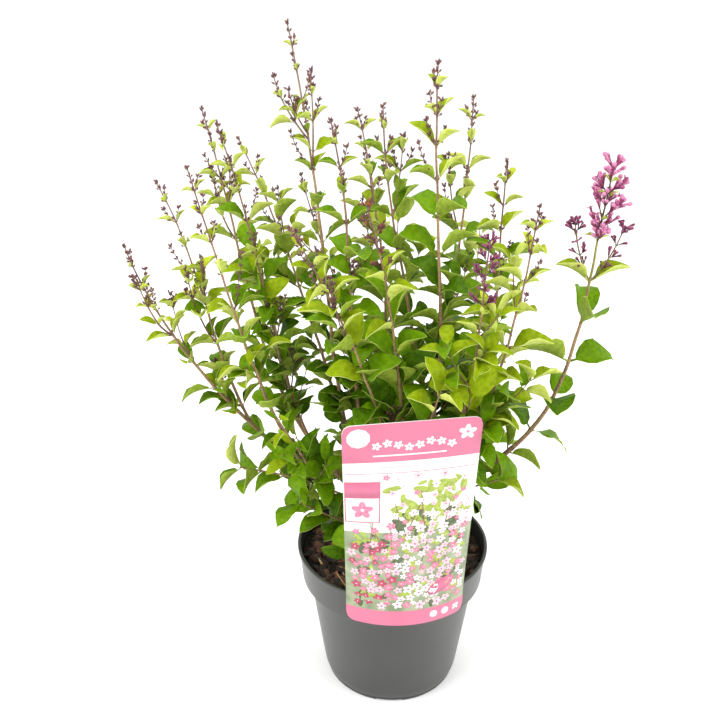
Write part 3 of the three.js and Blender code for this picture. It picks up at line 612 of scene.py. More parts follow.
# %% Leaves and stalks between the blossoms
leaves_printed = 0
for i in range(LEAF_TRIES):
    across, up = between(-50, 50, draw(LEAF_SEED, i, 1)), between(20, 172, draw(LEAF_SEED, i, 2))
    length, turn = between(8, 17, draw(LEAF_SEED, i, 3)), draw(LEAF_SEED, i, 4) * math.tau
    mid_across, mid_up = across + length / 2 * math.cos(turn), up + length / 2 * math.sin(turn)
    if abs(mid_across) > 50 or not 22 < mid_up < 170 or (mid_across < -18 and mid_up > 112):
        continue
    is_free = all(math.hypot(mid_across - a, mid_up - u) > s * 0.8 for a, u, s in flowers)
    if is_free and leaves_printed < MOST_LEAVES:
        tone = LEAF if draw(LEAF_SEED, i, 5) > 0.45 or up > 130 else SHADE
        ink(printed, across, up, length, length * 0.44, turn, tone, 0.08)
        leaves_printed += 1
for i in range(STALKS):
    across, up = between(-40, 42, draw(STALK_SEED, i, 1)), between(26, 120, draw(STALK_SEED, i, 2))
    length, turn = between(26, 52, draw(STALK_SEED, i, 3)), between(1.1, 2.0, draw(STALK_SEED, i, 4))
    ink(printed, across, up, length, 1.1, turn, STEM, 0.12)
print("leaves printed:", leaves_printed)

# %% The header's row, the emblem and the dots at the foot
HEADER_BLOSSOMS, HEADER_STEP = 8, 9
for i in range(HEADER_BLOSSOMS):
    blossom(printed, -30 + HEADER_STEP * i, 207 + 2.4 * math.sin(i * 1.5), 4.4, i * 0.5, WHITE, PINK, 0.1)
disc(printed, -45, 216, 20, WHITE, 0.1)
blossom(printed, 46, 215, 8, 0.3, WHITE, PINK, 0.1)
for across, up, width, height, colour, proud in [
        (-2, 197, 62, 1.5, WHITE, 0.1), (-6, 184.6, 56, 1.5, BLUSH, 0.1), (0, 178.4, 112, 0.7, PINK, 0.1),
        (-42, 161, 31, 17, HEADER, 0.2), (-42, 138, 31, 29, HEADER, 0.2), (-42, 138, 29, 27, WHITE, 0.24)]:
    patch(printed, across, up, width, height, colour, proud)
blossom(printed, -42, 138, 10, 0.3, PINK, WHITE, 0.3)
ink(printed, 18, 34, 30, 16, 0.5, HEADER, 0.24)
for across in (25, 37, 49):
    disc(printed, across, 8.5, 8, WHITE, 0.1)
for face in printed.faces:
    if face.normal.y > 0:
        face.normal_flip()
bmesh.ops.solidify(printed, geom=printed.faces[:], thickness=INK_THICKNESS)
keep("label_print", mesh_from(printed, "label_print"), INKS, crease=0)

# %% [markdown]
# ## How the plant grows
# The limbs follow the same rule as the plain solids: a bough leaves the short main stem
# and bends up to its fork, and shoots run on from there to their tips. A limb is a curve
# cut into short steps, with the length up to each step, so that a leaf can be placed by
# its distance below the tip. Straight cones would be quicker but look like wire, so a
# little noise makes the shoots wander as grown wood does.

# %% Limbs
WANDER_SIZE = 34  # the length over which a shoot sways once, about


class Limb:
    """A limb from foot to tip along a Bezier of its bends, with its radius at both ends."""

    def __init__(self, bends, radii, key, wander=0.0, steps=90):
        bends = [Vector(bend) for bend in bends]
        self.radii, self.key, self.turn = radii, key, key * 0.9
        self.points = []
        for i in range(steps + 1):
            row = bends
            while len(row) > 1:
                row = [a.lerp(b, i / steps) for a, b in zip(row, row[1:])]
            away = sway(row[0] / WANDER_SIZE + Vector((key * 1.7, 0, 0)))
            self.points.append(row[0] + away * wander * math.sin(math.pi * i / steps) ** 0.5)
        gaps = [(b - a).length for a, b in zip(self.points, self.points[1:])]
        self.reach = [0.0, *np.cumsum(gaps)]
        self.length = self.reach[-1]

    def at(self, distance):
        """The point and direction at a distance from the foot."""
        distance = min(max(distance, 0.0), self.length - 1e-6)
        step = int(np.searchsorted(self.reach, distance, side="right")) - 1
        share = (distance - self.reach[step]) / (self.reach[step + 1] - self.reach[step])
        a, b = self.points[step], self.points[step + 1]
        return a.lerp(b, share), (b - a).normalized()

    def radius(self, distance):
        return between(*self.radii, distance / self.length)


def bowed(start, end, bow):
    way = end - start
    middle = Vector((way.x * (0.5 + bow), way.y * (0.5 + bow), way.z * (0.5 - bow)))
    return [start, start + middle, end]


def climbing(start, direction, tip, lean=0.5):
    """A shoot leaves in the direction that it is given and ends upright, or leaning out."""
    way = tip - start
    ending = Vector((way.x * lean, way.y * lean, way.z)).normalized()
    return [start, start + direction * way.length * 0.3, tip - ending * way.length * 0.4, tip]


print("a limb of one bend:", round(Limb(bowed(Vector(), Vector((0, 0, 90)), 0), (2, 1), 0).length))

# %% [markdown]
# ## The plan of the plant
# Growing everything by chance would never give this plant's outline, so its main shoots are
# listed one by one and only the rest is left to the rule. Heights are above the mix, and the
# plan is raised onto it when the limbs are made.
#
# - A bough has a foot height on the main stem, its fork, its radius at foot and fork, its
#   bow, and the tips of its shoots. A tip's fourth number is how far it leans out there.
# - A low shoot has a foot height on the main stem, its bow, its radius, the share of it that
#   is bare, and its tips.
# - A flower head has its length and the bare length below it.

# %% The plan
BOUGHS = {
    "left": (13, (-128, -5, 138), (3.4, 2.4), 0.03, [(-232, -25, 325, 0.5), (-217, 40, 365, 1.5)]),
    "right": (13, (112, -11, 130), (3.6, 2.7), 0.02, [(176, -10, 401, 0.5)]),
    "left_front": (21, (-54, -34, 80), (3.2, 2.4), 0.06, [(-167, -50, 398, 0.7), (-96, -112, 212, 1)]),
    "right_front": (23, (37, -35, 86), (3.2, 2.4), 0.02, [(110, -62, 373, 0.4), (68, -110, 360, 0.3)]),
    "left_back": (25, (-80, 46, 92), (3.4, 2.5), 0.06,
                  [(-179, 75, 424, 0.9), (-147, -20, 426, 1.3), (-150, 160, 270, 1)]),
    "right_back": (26, (57, 40, 87), (3.4, 2.5), 0.06,
                   [(93, 30, 389, 0.3), (110, 125, 270, 1), (86, 166, 290, 1)]),
    "front": (35, (5, -42, 88), (3.2, 2.4), 0.06,
              [(-22, -125, 388, 2.5), (36, -120, 240, 1), (-78, -122, 370, 1.5)]),
    "back": (37, (-4, 46, 90), (3.4, 2.5), 0.06,
             [(-39, 105, 420, 2.5), (-97, 136, 352, 0.7), (0, 178, 300, 1)]),
    "left_middle": (45, (-40, 6, 108), (3.6, 2.7), 0.22, [(-96, 50, 499, 1.6), (-154, 112, 391, 1.5)]),
    "right_middle": (47, (24, -9, 108), (3.8, 3.0), 0.08,
                     [(28, -50, 478, 1), (66, 82, 434, 0.2), (-14, 12, 437, 0.3)]),
    "middle": (62, (-25, 0, 118), (3.4, 2.6), 0.1, [(-53, -45, 434, 2)]),
}
LOW_SHOOTS = {
    "low_left": (30, -0.16, 1.6, 0.55, [(-142, -42, 120, 1)]),
    "low_front": (14, 0.02, 1.5, 0.4, [(-84, -62, 96, 1), (-42, -76, 52, 1)]),
    "low_right": (38, -0.05, 1.6, 0.4, [(98, -34, 108, 1)]),
    "low_back": (13, 0.0, 1.6, 0.4, [(8, 112, 88, 1), (104, 66, 92, 1), (-104, 76, 86, 1)]),
}
FLOWER_HEADS = {("right", 0): (71, 36), ("right_front", 1): (58, 6), ("front", 0): (70, 6)}
BUD_HEIGHT = MIX_LEVEL + 320  # shoots that end above it carry buds
STOOL_HEIGHT, STOOL_LEAN = 62, (-4, 3)
SLENDER = 0.84  # of the plain solids' radii, which are stouter than young wood
print("boughs and low shoots:", len(BOUGHS), len(LOW_SHOOTS))

# %% Grow the main limbs
TIP_RADIUS, WANDER, FORK_STEP = 0.5, 1.4, 7


def stool_axis(height):
    share = max(0, height - 6) / STOOL_HEIGHT
    return Vector((STOOL_LEAN[0] * share, STOOL_LEAN[1] * share, height + MIX_LEVEL))


def raised(place):
    return Vector(place[:3]) + UP * MIX_LEVEL


def branched(leader, tips, first, radius):
    """The leader and its other shoots, which leave it one after another from `first` on."""
    shoots = [leader]
    for index, tip in enumerate(tips[1:], 1):
        point, tangent = leader.at(first + FORK_STEP * index)
        direction = (tangent + (raised(tip) - point).normalized() * 1.4).normalized()
        shoots.append(Limb(climbing(point, direction, raised(tip), tip[3]),
                           (radius * 0.8, TIP_RADIUS), leader.key + index, WANDER))
    return shoots


boughs, masses = {}, {}
for number, (name, (foot, fork, radii, bow, tips)) in enumerate(BOUGHS.items()):
    radii = [SLENDER * radius for radius in radii]
    bough = Limb(bowed(stool_axis(foot), raised(fork), bow), radii, number)
    direction = bough.at(bough.length)[1]
    path = climbing(raised(fork), direction, raised(tips[0]), tips[0][3])
    leader = Limb(path, (radii[1], TIP_RADIUS), number * 10, WANDER)
    boughs[name] = bough
    masses[name] = branched(leader, tips, 2, radii[1])
for number, (name, (foot, bow, radius, bare, tips)) in enumerate(LOW_SHOOTS.items(), 20):
    leader = Limb(bowed(stool_axis(foot), raised(tips[0]), bow), (radius, 0.7), number * 10, 0.8)
    masses[name] = branched(leader, tips, 17, radius)
print("shoots:", sum(len(shoots) for shoots in masses.values()))

# %% [markdown]
# ## Wood as bevelled curves
# Cones set end to end would show a kink at every joint, and a Skin modifier is slow on so
# many twigs. A curve with a bevel is the quickest round limb: each point of it has its own
# radius, so a limb tapers and swells a little at every pair of leaves. The curves are then
# made into meshes, because bark relief and colour zones need vertices and faces.

# %% Curves into one mesh
def tubes(name, limbs, resolution):
    """`limbs` holds lists of (point, radius), all in millimetres."""
    curve = bpy.data.curves.new(name, "CURVE")
    curve.dimensions = "3D"
    curve.bevel_depth = MM
    curve.bevel_resolution = resolution
    curve.use_fill_caps = True
    for stations in limbs:
        spline = curve.splines.new("POLY")
        spline.points.add(len(stations) - 1)
        for knot, (point, radius) in zip(spline.points, stations):
            knot.co = (*(point * MM), 1)
            knot.radius = radius
    holder = bpy.data.objects.new(name, curve)
    bpy.context.scene.collection.objects.link(holder)
    graph = bpy.context.evaluated_depsgraph_get()
    mesh = bpy.data.meshes.new_from_object(holder.evaluated_get(graph))
    bpy.data.objects.remove(holder)
    mesh.materials.clear()
    return mesh


# %% [markdown]
# ## The main stem and the boughs
# Young lilac bark is grey-brown and finely ridged along the limb. A bump in the finish gives
# the grain but leaves the outline smooth, so the ridges are modelled: every vertex moves out
# or in by a noise that is stretched along the height. The stem flares at its foot and is
# cut flat there, on the surface of the mix.

# %% Bark on the main stem and boughs
BARK = finish("bark", (150, 118, 88), (96, 70, 50), 420, 0.85, 0.9, 1400)
STOOL_RADII = [(0.3, 13.2), (1.2, 12.6), (3, 11.2), (6, 10.0), (10, 9.1), (16, 8.6), (26, 8.3),
               (36, 8.0), (46, 7.4), (53, 6.9), (58, 6.2), (61, 5.0), (62.2, 3.4)]  # by height
RIDGE_HEIGHT, GRAIN_HEIGHT = 0.34, 0.12


def wooden(limb, step):
    """Stations along a limb, at most about a step apart."""
    count = max(2, round(limb.length / step))
    return [(limb.at(limb.length * i / count)[0], limb.radius(limb.length * i / count))
            for i in range(count + 1)]


bark_limbs = [[(stool_axis(height), radius) for height, radius in STOOL_RADII]]
bark_limbs += [wooden(bough, 3) for bough in boughs.values()]
bark_mesh = tubes("bark_limbs", bark_limbs, 6)
for vertex in bark_mesh.vertices:
    spot = vertex.co / MM
    ridges = noise.noise(Vector((spot.x * 0.55, spot.y * 0.55, spot.z * 0.11)))
    grain = noise.noise(spot * 1.1)
    if spot.z > MIX_LEVEL + 1:
        vertex.co += vertex.normal * (RIDGE_HEIGHT * ridges + GRAIN_HEIGHT * grain) * MM
keep("bark_limbs", bark_mesh, [BARK], ["main_stem", *(f"bough_{name}" for name in boughs)],
     crease=0)

# %% [markdown]
# ## Keeping clear of card and pot
# A leaf that would stand through the card, the pot's wall or the mix is left out, as a
# real one would have grown elsewhere. A test of every leaf against every face would be slow,
# so the pot is tested by its radius. The card leans, so its back is looked up in a tree, at
# the leaf's own height and sideways place.

# %% Clear of the hard pieces
STEM_ROOM, MIX_ROOM, CARD_NEAR = 16, 5, 7
CARD_STOPS = [card_point(across, up, 0) for up in range(0, 230, 12) for across in range(-58, 59, 4)]
card_tree = KDTree(len(CARD_STOPS))
for i, stop in enumerate(CARD_STOPS):
    card_tree.insert(Vector((stop.x, stop.z, 0)), i)
card_tree.balance()


def is_clear(point, room=2.0):
    wide = math.hypot(point.x, point.y)
    if point.z < POT_HEIGHT + room and wide > inner_radius(point.z) - room:
        return False
    if point.z < MIX_LEVEL + MIX_ROOM and wide > STEM_ROOM:
        return False
    _, nearest, distance = card_tree.find(Vector((point.x, point.z, 0)))
    return distance > CARD_NEAR or point.y > CARD_STOPS[nearest].y + room


print("places on the card:", len(CARD_STOPS))

# %% [markdown]
# ## Nodes and twigs
# Lilac leaves stand in pairs, each pair crosswise to the last. Scattering leaves over the
# limbs with a particle system is quick, but it can't keep that order, so the nodes are
# counted down from each tip instead. They are close together at the tip and further apart
# below. Leaves are small near a tip and reach their full size some way below it; `start`
# and `rise` say how fast that goes.

# %% Nodes and twigs
NODE_FIRST, NODE_GROWTH, NODE_FULL = 20, 4, 32
OPEN_SPACING = {"right": 38}


def leaf_frame(tangent, angle, lean, roll=0.0):
    """The way a leaf points that leans away from its shoot, and the way its top faces."""
    side = UP.cross(tangent)
    side = side.normalized() if side.length > 1e-3 else Vector((1, 0, 0))
    away = side * math.cos(angle) + tangent.cross(side) * math.sin(angle)
    along = tangent * math.cos(lean) + away * math.sin(lean)
    across = tangent.cross(away).normalized()
    return along, Matrix.Rotation(roll, 3, along) @ along.cross(across)


def nodes_below_tip(length, start, spacing, full=NODE_FULL):
    """Distances below the tip, with a spacing that grows until it is full."""
    nodes, distance = [], start
    while distance < length:
        nodes.append(distance)
        distance += spacing
        spacing = min(spacing + NODE_GROWTH, full)
    return nodes


def pair_angle(limb, index):
    return limb.turn + index * math.pi / 2 + between(-0.35, 0.35, draw(limb.key, index, 4))


class Twig:
    """A limb with its nodes, its leaves' full size and how they grow to it below the tip.

    `below` adds to every distance when colours are dealt out, `trim` shortens the wood and
    `bracts` are nodes of small leaves.
    """

    def __init__(self, mass, limb, leaf, nodes, start, rise, flowering):
        self.mass, self.limb, self.leaf, self.nodes = mass, limb, leaf, nodes
        self.start, self.rise, self.flowering = start, rise, flowering
        self.below, self.trim, self.bracts = 0.0, 0.0, []

    def growth(self, distance):
        return min(1, 0.3 + max(0, self.start + distance) / self.rise)


print("nodes on a shoot of 200 mm:", nodes_below_tip(200, NODE_FIRST, NODE_FIRST))

# %% Twigs on the main shoots
FULL_LEAF = {"left": 26, "right": 40, "left_front": 27, "left_back": 27, "left_middle": 28,
             "middle": 30, "back": 29, "right_back": 32, "right_front": 31, "right_middle": 32}
OTHER_LEAF, LOW_LEAF = 35, 29
EARLY_LEAVES = {  # shoots, by mass and number, whose leaves are larger near the tip
    ("right_middle", 0): 12, ("right_middle", 2): 25, ("back", 0): 16, ("back", 1): 30,
    ("back", 2): 130, ("middle", 0): 10, ("left_middle", 1): 30, ("left_back", 1): 25,
    ("left_back", 2): 100, ("left_front", 1): 40, ("right_front", 0): 25,
    ("right_back", 0): 20, ("right_back", 2): 100, ("front", 1): 80,
}
RISE, LOW_START, LOW_RISE, TALLEST_START = 190, 80, 110, -64
LEAFY_BELOW, LOW_BELOW, BOUGH_BELOW = 125, 190, 210
BARE_FOOT, LEAFY_FIRST, LOW_FIRST = 12, 8, 2
LEAFY_BOUGHS, BOUGH_NODES, BOUGH_LEAF = ["left", "right"], [8, 40, 72], 34
HEAD_TRIM, HEAD_BRACTS = 11, [21, 34, 54, 70]


def main_twig(name, index, limb):
    head, low = FLOWER_HEADS.get((name, index)), name in LOW_SHOOTS
    bare = limb.length * LOW_SHOOTS[name][3] if low else BARE_FOOT
    flowering = limb.points[-1].z > BUD_HEIGHT and not head
    if head or low:
        limb.turn = math.pi / 2
    first = sum(head) if head else NODE_FIRST if flowering else LOW_FIRST if low else LEAFY_FIRST
    spacing = OPEN_SPACING.get(name, NODE_FIRST)
    nodes = nodes_below_tip(limb.length - bare, first, spacing, max(spacing, NODE_FULL))
    full = FULL_LEAF.get(name, LOW_LEAF if low else OTHER_LEAF)
    start = LOW_START if low else EARLY_LEAVES.get((name, index), 0)
    twig = Twig(name, limb, full, nodes, start, LOW_RISE if low else RISE, flowering)
    twig.below = LOW_BELOW if low else 0 if flowering or head else LEAFY_BELOW
    return twig


twigs = [main_twig(name, index, limb) for name, shoots in masses.items()
         for index, limb in enumerate(shoots)]
head_twig = next(twig for twig in twigs if twig.mass == "right")
head_twig.trim, head_twig.bracts = HEAD_TRIM, HEAD_BRACTS
tallest = next(twig for twig in twigs if twig.mass == "left_middle")
tallest.start = TALLEST_START
bough_ends = []
for name in LEAFY_BOUGHS:
    boughs[name].turn = 0.6
    bough_ends.append(Twig(name, boughs[name], BOUGH_LEAF, BOUGH_NODES, 140, RISE, False))
    bough_ends[-1].below = BOUGH_BELOW
print("shoots:", len(twigs))

# %% [markdown]
# ## Side shoots
# Side shoots grow from the axils of the lower leaves, and most are short. A few of the
# topmost ones run up beside their leader and flower as it does, and none reaches much
# further out than it. A recursive tree generator would fill the crown evenly, while a
# chance for each axil keeps the gaps between the shoots. The tallest shoot has three sprays
# below its tip, which stand out against the sky, so they are listed one by one.

# %% Side shoots
SIDE_SHARES = {"left": 0.12, "left_back": 0.22, "left_front": 0.3, "left_middle": 0.28, "back": 0.2}
OTHER_SHARE, TALL_SHARE, TALL_FROM = 0.35, 0.05, MIX_LEVEL + 90
DENSE_SHARE, DENSE_BELOW = 0.5, MIX_LEVEL + 170
SIDE_FROM, SIDE_CEILING, SIDE_BUD_HEIGHT = 70, MIX_LEVEL + 285, MIX_LEVEL + 190
PANICLE_ZONE, PANICLE_SHARE = (70, 150), 0.14
SIDE_LEAF, SIDE_OVERHANG = 0.85, 6
TOP_SPRAYS = [(121, (1, -8, 82)), (97, (-29, 4, 52)), (92, (-15, -8, 38))]  # start and way
TOP_BARE, SPRAY_LEAF, SPRAY_KEY = 150, 24, 900


def side_shoots(twig, index, in_panicle):
    """The side shoots of one node, of which each axil may bear one."""
    distance, made = twig.nodes[index], []
    start, tangent = twig.limb.at(twig.limb.length - distance)
    widest = max(point.xy.length for point in twig.limb.points)
    share = DENSE_SHARE if start.z < DENSE_BELOW else SIDE_SHARES.get(twig.mass, OTHER_SHARE)
    for half in (0, 1):
        key = twig.limb.key * 40 + index * 2 + half + 1000
        tall = draw(key, 2) < (PANICLE_SHARE if in_panicle else TALL_SHARE) and start.z > TALL_FROM
        if not tall and (draw(key, 1) > share or start.z > SIDE_CEILING):
            continue
        angle = pair_angle(twig.limb, index) + half * math.pi
        along, _ = leaf_frame(tangent, angle, 0.5 if tall else 0.7)
        length = between(40, 76, draw(key, 3)) if tall else between(12, 44, draw(key, 3) ** 1.3)
        end = start + along * length * (0.5 if tall else 1) + UP * length * (0.6 if tall else 0.35)
        if not is_clear(end) or end.xy.length >= widest + SIDE_OVERHANG:
            continue
        radii = (1.0 if tall else 0.8, 0.4)
        limb = Limb(climbing(start, along, end), radii, key, 1 if tall else 0, 16)
        nodes = nodes_below_tip(limb.length - 4, *((14, 16) if tall else (4, 11)))
        past = max(0, distance - length)
        made.append(Twig(twig.mass, limb, twig.leaf * SIDE_LEAF, nodes, twig.start + past, twig.rise,
                         tall and end.z > SIDE_BUD_HEIGHT))
        made[-1].below = twig.below + past * 0.8
    return made


side_twigs = []
for twig in twigs:
    bare = TOP_BARE if twig is tallest else SIDE_FROM
    for index, distance in enumerate(twig.nodes):
        height = twig.limb.at(twig.limb.length - distance)[0].z
        in_panicle = twig.flowering and PANICLE_ZONE[0] < distance < PANICLE_ZONE[1]
        if distance < bare or twig.mass in OPEN_SPACING:
            continue
        if height <= SIDE_CEILING or in_panicle:
            side_twigs += side_shoots(twig, index, in_panicle)
for index, (distance, way) in enumerate(TOP_SPRAYS):
    start, tangent = tallest.limb.at(tallest.limb.length - distance)
    along = (Vector(way).normalized() - tangent * 0.4).normalized()
    limb = Limb(climbing(start, along, start + Vector(way)), (0.9, 0.4), SPRAY_KEY + index, 1, 16)
    nodes = nodes_below_tip(limb.length - 4, 20, 22)
    side_twigs.append(Twig(tallest.mass, limb, SPRAY_LEAF, nodes, 10, 120, True))
print("side shoots:", len(side_twigs))

# %% [markdown]
# ## Wood of the shoots
# A shoot is reddish at its tip, tan below and brown where it is oldest. One gradient along
# every shoot would need its own map, so the wood has a few finishes instead, and each face
# takes the one of its distance below the tip. Every node swells a little.

# %% Wood of the shoots
WOOD = [finish("shoot_tip", (134, 98, 88), (110, 78, 72), 500, 0.55),
        finish("shoot_young", (158, 122, 92), (130, 96, 74), 500, 0.6),
        finish("shoot_brown", (176, 144, 106), (144, 112, 80), 500, 0.7, 0.5, 1500),
        finish("shoot_old", (166, 136, 102), (126, 98, 72), 450, 0.8, 0.7, 1400),
        finish("head_axis", (84, 70, 58), (62, 50, 44), 500, 0.6),
        finish("head_stem", (160, 154, 76), (134, 124, 58), 500, 0.6)]
TIP_WOOD, YOUNG_WOOD, AXIS_WOOD, STEM_WOOD = 0, 1, 4, 5  # places in WOOD
ZONES = [45, 110, 190]  # distances below the tip, where the next older wood starts
HEAD_ZONES = [sum(FLOWER_HEADS["right", 0]), FLOWER_HEADS["right", 0][0] - 6]
NODE_SWELL, SWELL_HALF = 0.24, 2.2


def jointed(twig, step):
    """Stations along a twig, with a small swelling at every node."""
    limb = twig.limb
    swells = [limb.length - distance for distance in twig.nodes]
    places = set(np.arange(0, limb.length, step)) | {limb.length}
    places |= {swell + shift for swell in swells for shift in (-SWELL_HALF, 0, SWELL_HALF)
               if swell > 3}
    stations = []
    for place in sorted(p for p in places if 0 <= p <= limb.length - twig.trim):
        swell = NODE_SWELL if any(abs(place - s) < 0.5 for s in swells) else 0
        stations.append((limb.at(place)[0], limb.radius(place) * (1 + swell)))
    return stations


shoot_mesh = tubes("shoots", [jointed(twig, 6) for twig in twigs], 2)
zone_tree = KDTree(sum(len(twig.limb.points) for twig in twigs))
zone_of = []
for twig in twigs:
    for point, reach in zip(twig.limb.points, twig.limb.reach):
        zone_tree.insert(point, len(zone_of))
        distance = twig.limb.length - reach
        zone_of.append(sum(distance + twig.below * 0.4 > limit for limit in ZONES))
        if twig is head_twig and distance < HEAD_ZONES[0]:
            zone_of[-1] = AXIS_WOOD if distance < HEAD_ZONES[1] else STEM_WOOD
zone_tree.balance()
for face in shoot_mesh.polygons:
    face.material_index = zone_of[zone_tree.find(face.center / MM)[1]]
keep("shoots", shoot_mesh, WOOD, [f"foliage_{name}" for name in masses], crease=0)

# %% Wood of the side shoots
SIDE_SEED = 77
side_mesh = tubes("side_shoots", [jointed(twig, 7) for twig in side_twigs], 0)
for face in side_mesh.polygons:
    face.material_index = int(draw(SIDE_SEED, face.index // 8) * 2)
keep("side_shoots", side_mesh, [WOOD[YOUNG_WOOD], WOOD[TIP_WOOD]], crease=0)

# %% [markdown]
# ## One leaf, in nine forms
# The leaf is broad and oval. Young ones have a drawn-out tip and are folded up from the
# midrib, so that half of them shows its pale underside; older ones are rounder, and the
# oldest lie nearly flat. The tip curls down and the margin waves. A card with a cut-out
# image is the usual leaf in games, but its edge is paper-thin and it can't fold. So a small
# grid is moved into that shape and given a thickness, and its thin edge has the paler
# colour of the margin.

# %% Leaf forms
# The stations run from the stalk's foot to the leaf's tip, with the half width at each.
STATIONS = [-0.16, 0.0, 0.05, 0.16, 0.31, 0.48, 0.65, 0.81, 0.93, 1.0]
YOUNG_HALF = [0.026, 0.028, 0.11, 0.21, 0.28, 0.29, 0.235, 0.15, 0.07, 0.004]
OLD_HALF = [0.028, 0.03, 0.14, 0.255, 0.335, 0.355, 0.31, 0.22, 0.11, 0.01]
ROUND_HALF = [0.028, 0.03, 0.16, 0.29, 0.375, 0.385, 0.325, 0.215, 0.09, 0.006]
COLUMNS = [-1, 0, 1]
LENGTHS, ACROSS = len(STATIONS) - 1, len(COLUMNS) - 1
UNDER, EDGE = 1, 2  # the top keeps part 0
LEAF_THICKNESS, FIRST_HEADING = 0.014, 0.16


def midrib(drop):
    """The midrib from the side: at each station its x, its z and the angle it climbs at."""
    rib, x, z = [], STATIONS[0], 0.0
    for before, station in zip([STATIONS[0], *STATIONS], STATIONS):
        heading = FIRST_HEADING - drop * max(0, station) ** 1.7
        x += (station - before) * math.cos(heading)
        z += (station - before) * math.sin(heading)
        rib.append((x, z, heading))
    return rib


def leaf_shape(half_widths, fold, drop, wave, twist):
    bm = bmesh.new()
    bmesh.ops.create_grid(bm, x_segments=LENGTHS, y_segments=ACROSS, size=0.5)
    rib = midrib(drop)
    for vert in bm.verts:
        row, column = round((vert.co.x + 0.5) * LENGTHS), round((vert.co.y + 0.5) * ACROSS)
        share, half = COLUMNS[column], half_widths[row]
        x, z, heading = rib[row]
        rise = half * abs(share) ** 1.2 * math.sin(fold)
        rise += wave * half * 3 * share ** 2 * math.sin(row * 1.35 + (1.9 if share > 0 else 0))
        side = half * share * math.cos(fold * 0.8)
        turn = twist * max(0, STATIONS[row])
        turned = side * math.cos(turn) - rise * math.sin(turn)
        rise = side * math.sin(turn) + rise * math.cos(turn)
        vert.co = (x - rise * math.sin(heading), turned, z + rise * math.cos(heading))
    first = set(bm.verts)
    if sum(face.normal.z for face in bm.faces) < 0:
        bmesh.ops.reverse_faces(bm, faces=bm.faces)
    bmesh.ops.solidify(bm, geom=bm.faces[:], thickness=LEAF_THICKNESS)
    for face in bm.faces:
        shared = sum(vert in first for vert in face.verts)
        if shared == 0:
            face.material_index = UNDER
        elif shared < len(face.verts):
            face.material_index = EDGE
    return Shape(bm)


LEAF_FORMS = [  # fold, drop, wave and twist
    (YOUNG_HALF, [(0.95, 0.6, 0.04, 0.0), (1.1, 0.8, 0.05, 0.2), (0.8, 0.5, 0.05, -0.2)]),
    (OLD_HALF, [(0.65, 0.65, 0.05, 0.12), (0.85, 0.5, 0.06, -0.12), (0.5, 0.8, 0.06, 0.0)]),
    (ROUND_HALF, [(0.2, 0.5, 0.05, 0.1), (0.35, 0.7, 0.06, -0.1), (0.12, 0.9, 0.06, 0.0)]),
]
FORMS_EACH = 3
leaf_shapes = [leaf_shape(half_widths, *form) for half_widths, forms in LEAF_FORMS for form in forms]
print("faces of a leaf:", len(leaf_shapes[0].sizes))

# %% [markdown]
# ## Leaf colours and where leaves stand
# Young leaves at the tips are yellow-green and leaves lower down are a deeper green. Leaves
# inside the crown are given deeper tones still, as painted shade where little light reaches
# them. All have a paler underside. One finish for all would look like plastic, and one for
# each leaf would be thousands. So each spray deals out its own tone by how far down and how
# far in it is, with a little chance. The leaves are joined in six pieces, by the part of the
# crown that they grow in.

# %% Leaf finishes
SHEEN = {"Specular_IOR_Level": 0.06}
LEAF_FINISHES = [
    finish("leaf_young", (190, 202, 56), (168, 184, 34), 260, 0.45, 0.3, 700, **SHEEN),
    finish("leaf_fresh", (150, 170, 22), (126, 150, 10), 260, 0.42, 0.35, 700, **SHEEN),
    finish("leaf_green", (108, 145, 9), (86, 125, 4), 260, 0.4, 0.4, 700, **SHEEN),
    finish("leaf_deep", (80, 116, 5), (58, 92, 3), 260, 0.4, 0.4, 700, **SHEEN),
    finish("under_bright", (204, 214, 112), (184, 198, 84), 260, 0.55, 0.4, 700, **SHEEN),
    finish("under_green", (156, 176, 68), (132, 155, 48), 260, 0.55, 0.4, 700, **SHEEN),
    finish("edge_light", (224, 228, 150), (208, 216, 124), 300, 0.5, **SHEEN),
    finish("edge_green", (182, 196, 96), (160, 180, 74), 300, 0.5, **SHEEN),
]
LEAF_TONES = [[0, 4, 6], [1, 4, 6], [2, 5, 7], [3, 5, 7]]
print("leaf finishes:", len(LEAF_FINISHES))

# %% Leaves on a twig
BRACT_GROWTH, HEAD_LEAN, GROWN_LEAN = 0.25, 0.35, 0.1
AXIS_OFFSET, CROWN_NARROW, CROWN_SPREAD = 10, 60, 0.42
DEEP_EVERY = 95  # millimetres below the tip for each deeper tone
CROWN_PARTS = {
    "leaves_left": ["left", "low_left", "left_front"],
    "leaves_left_back": ["left_back", "left_middle"],
    "leaves_middle": ["front", "middle", "low_front"],
    "leaves_right": ["right", "right_front", "right_middle", "low_right"],
    "leaves_right_back": ["right_back", "low_back"],
    "leaves_back": ["back"],
}


def innerness(point):
    """1 at the crown's axis, 0 at and beyond its outside."""
    spread = CROWN_NARROW + CROWN_SPREAD * (point.z - MIX_LEVEL)
    return max(0, 1 - math.hypot(point.x + AXIS_OFFSET, point.y) / spread)


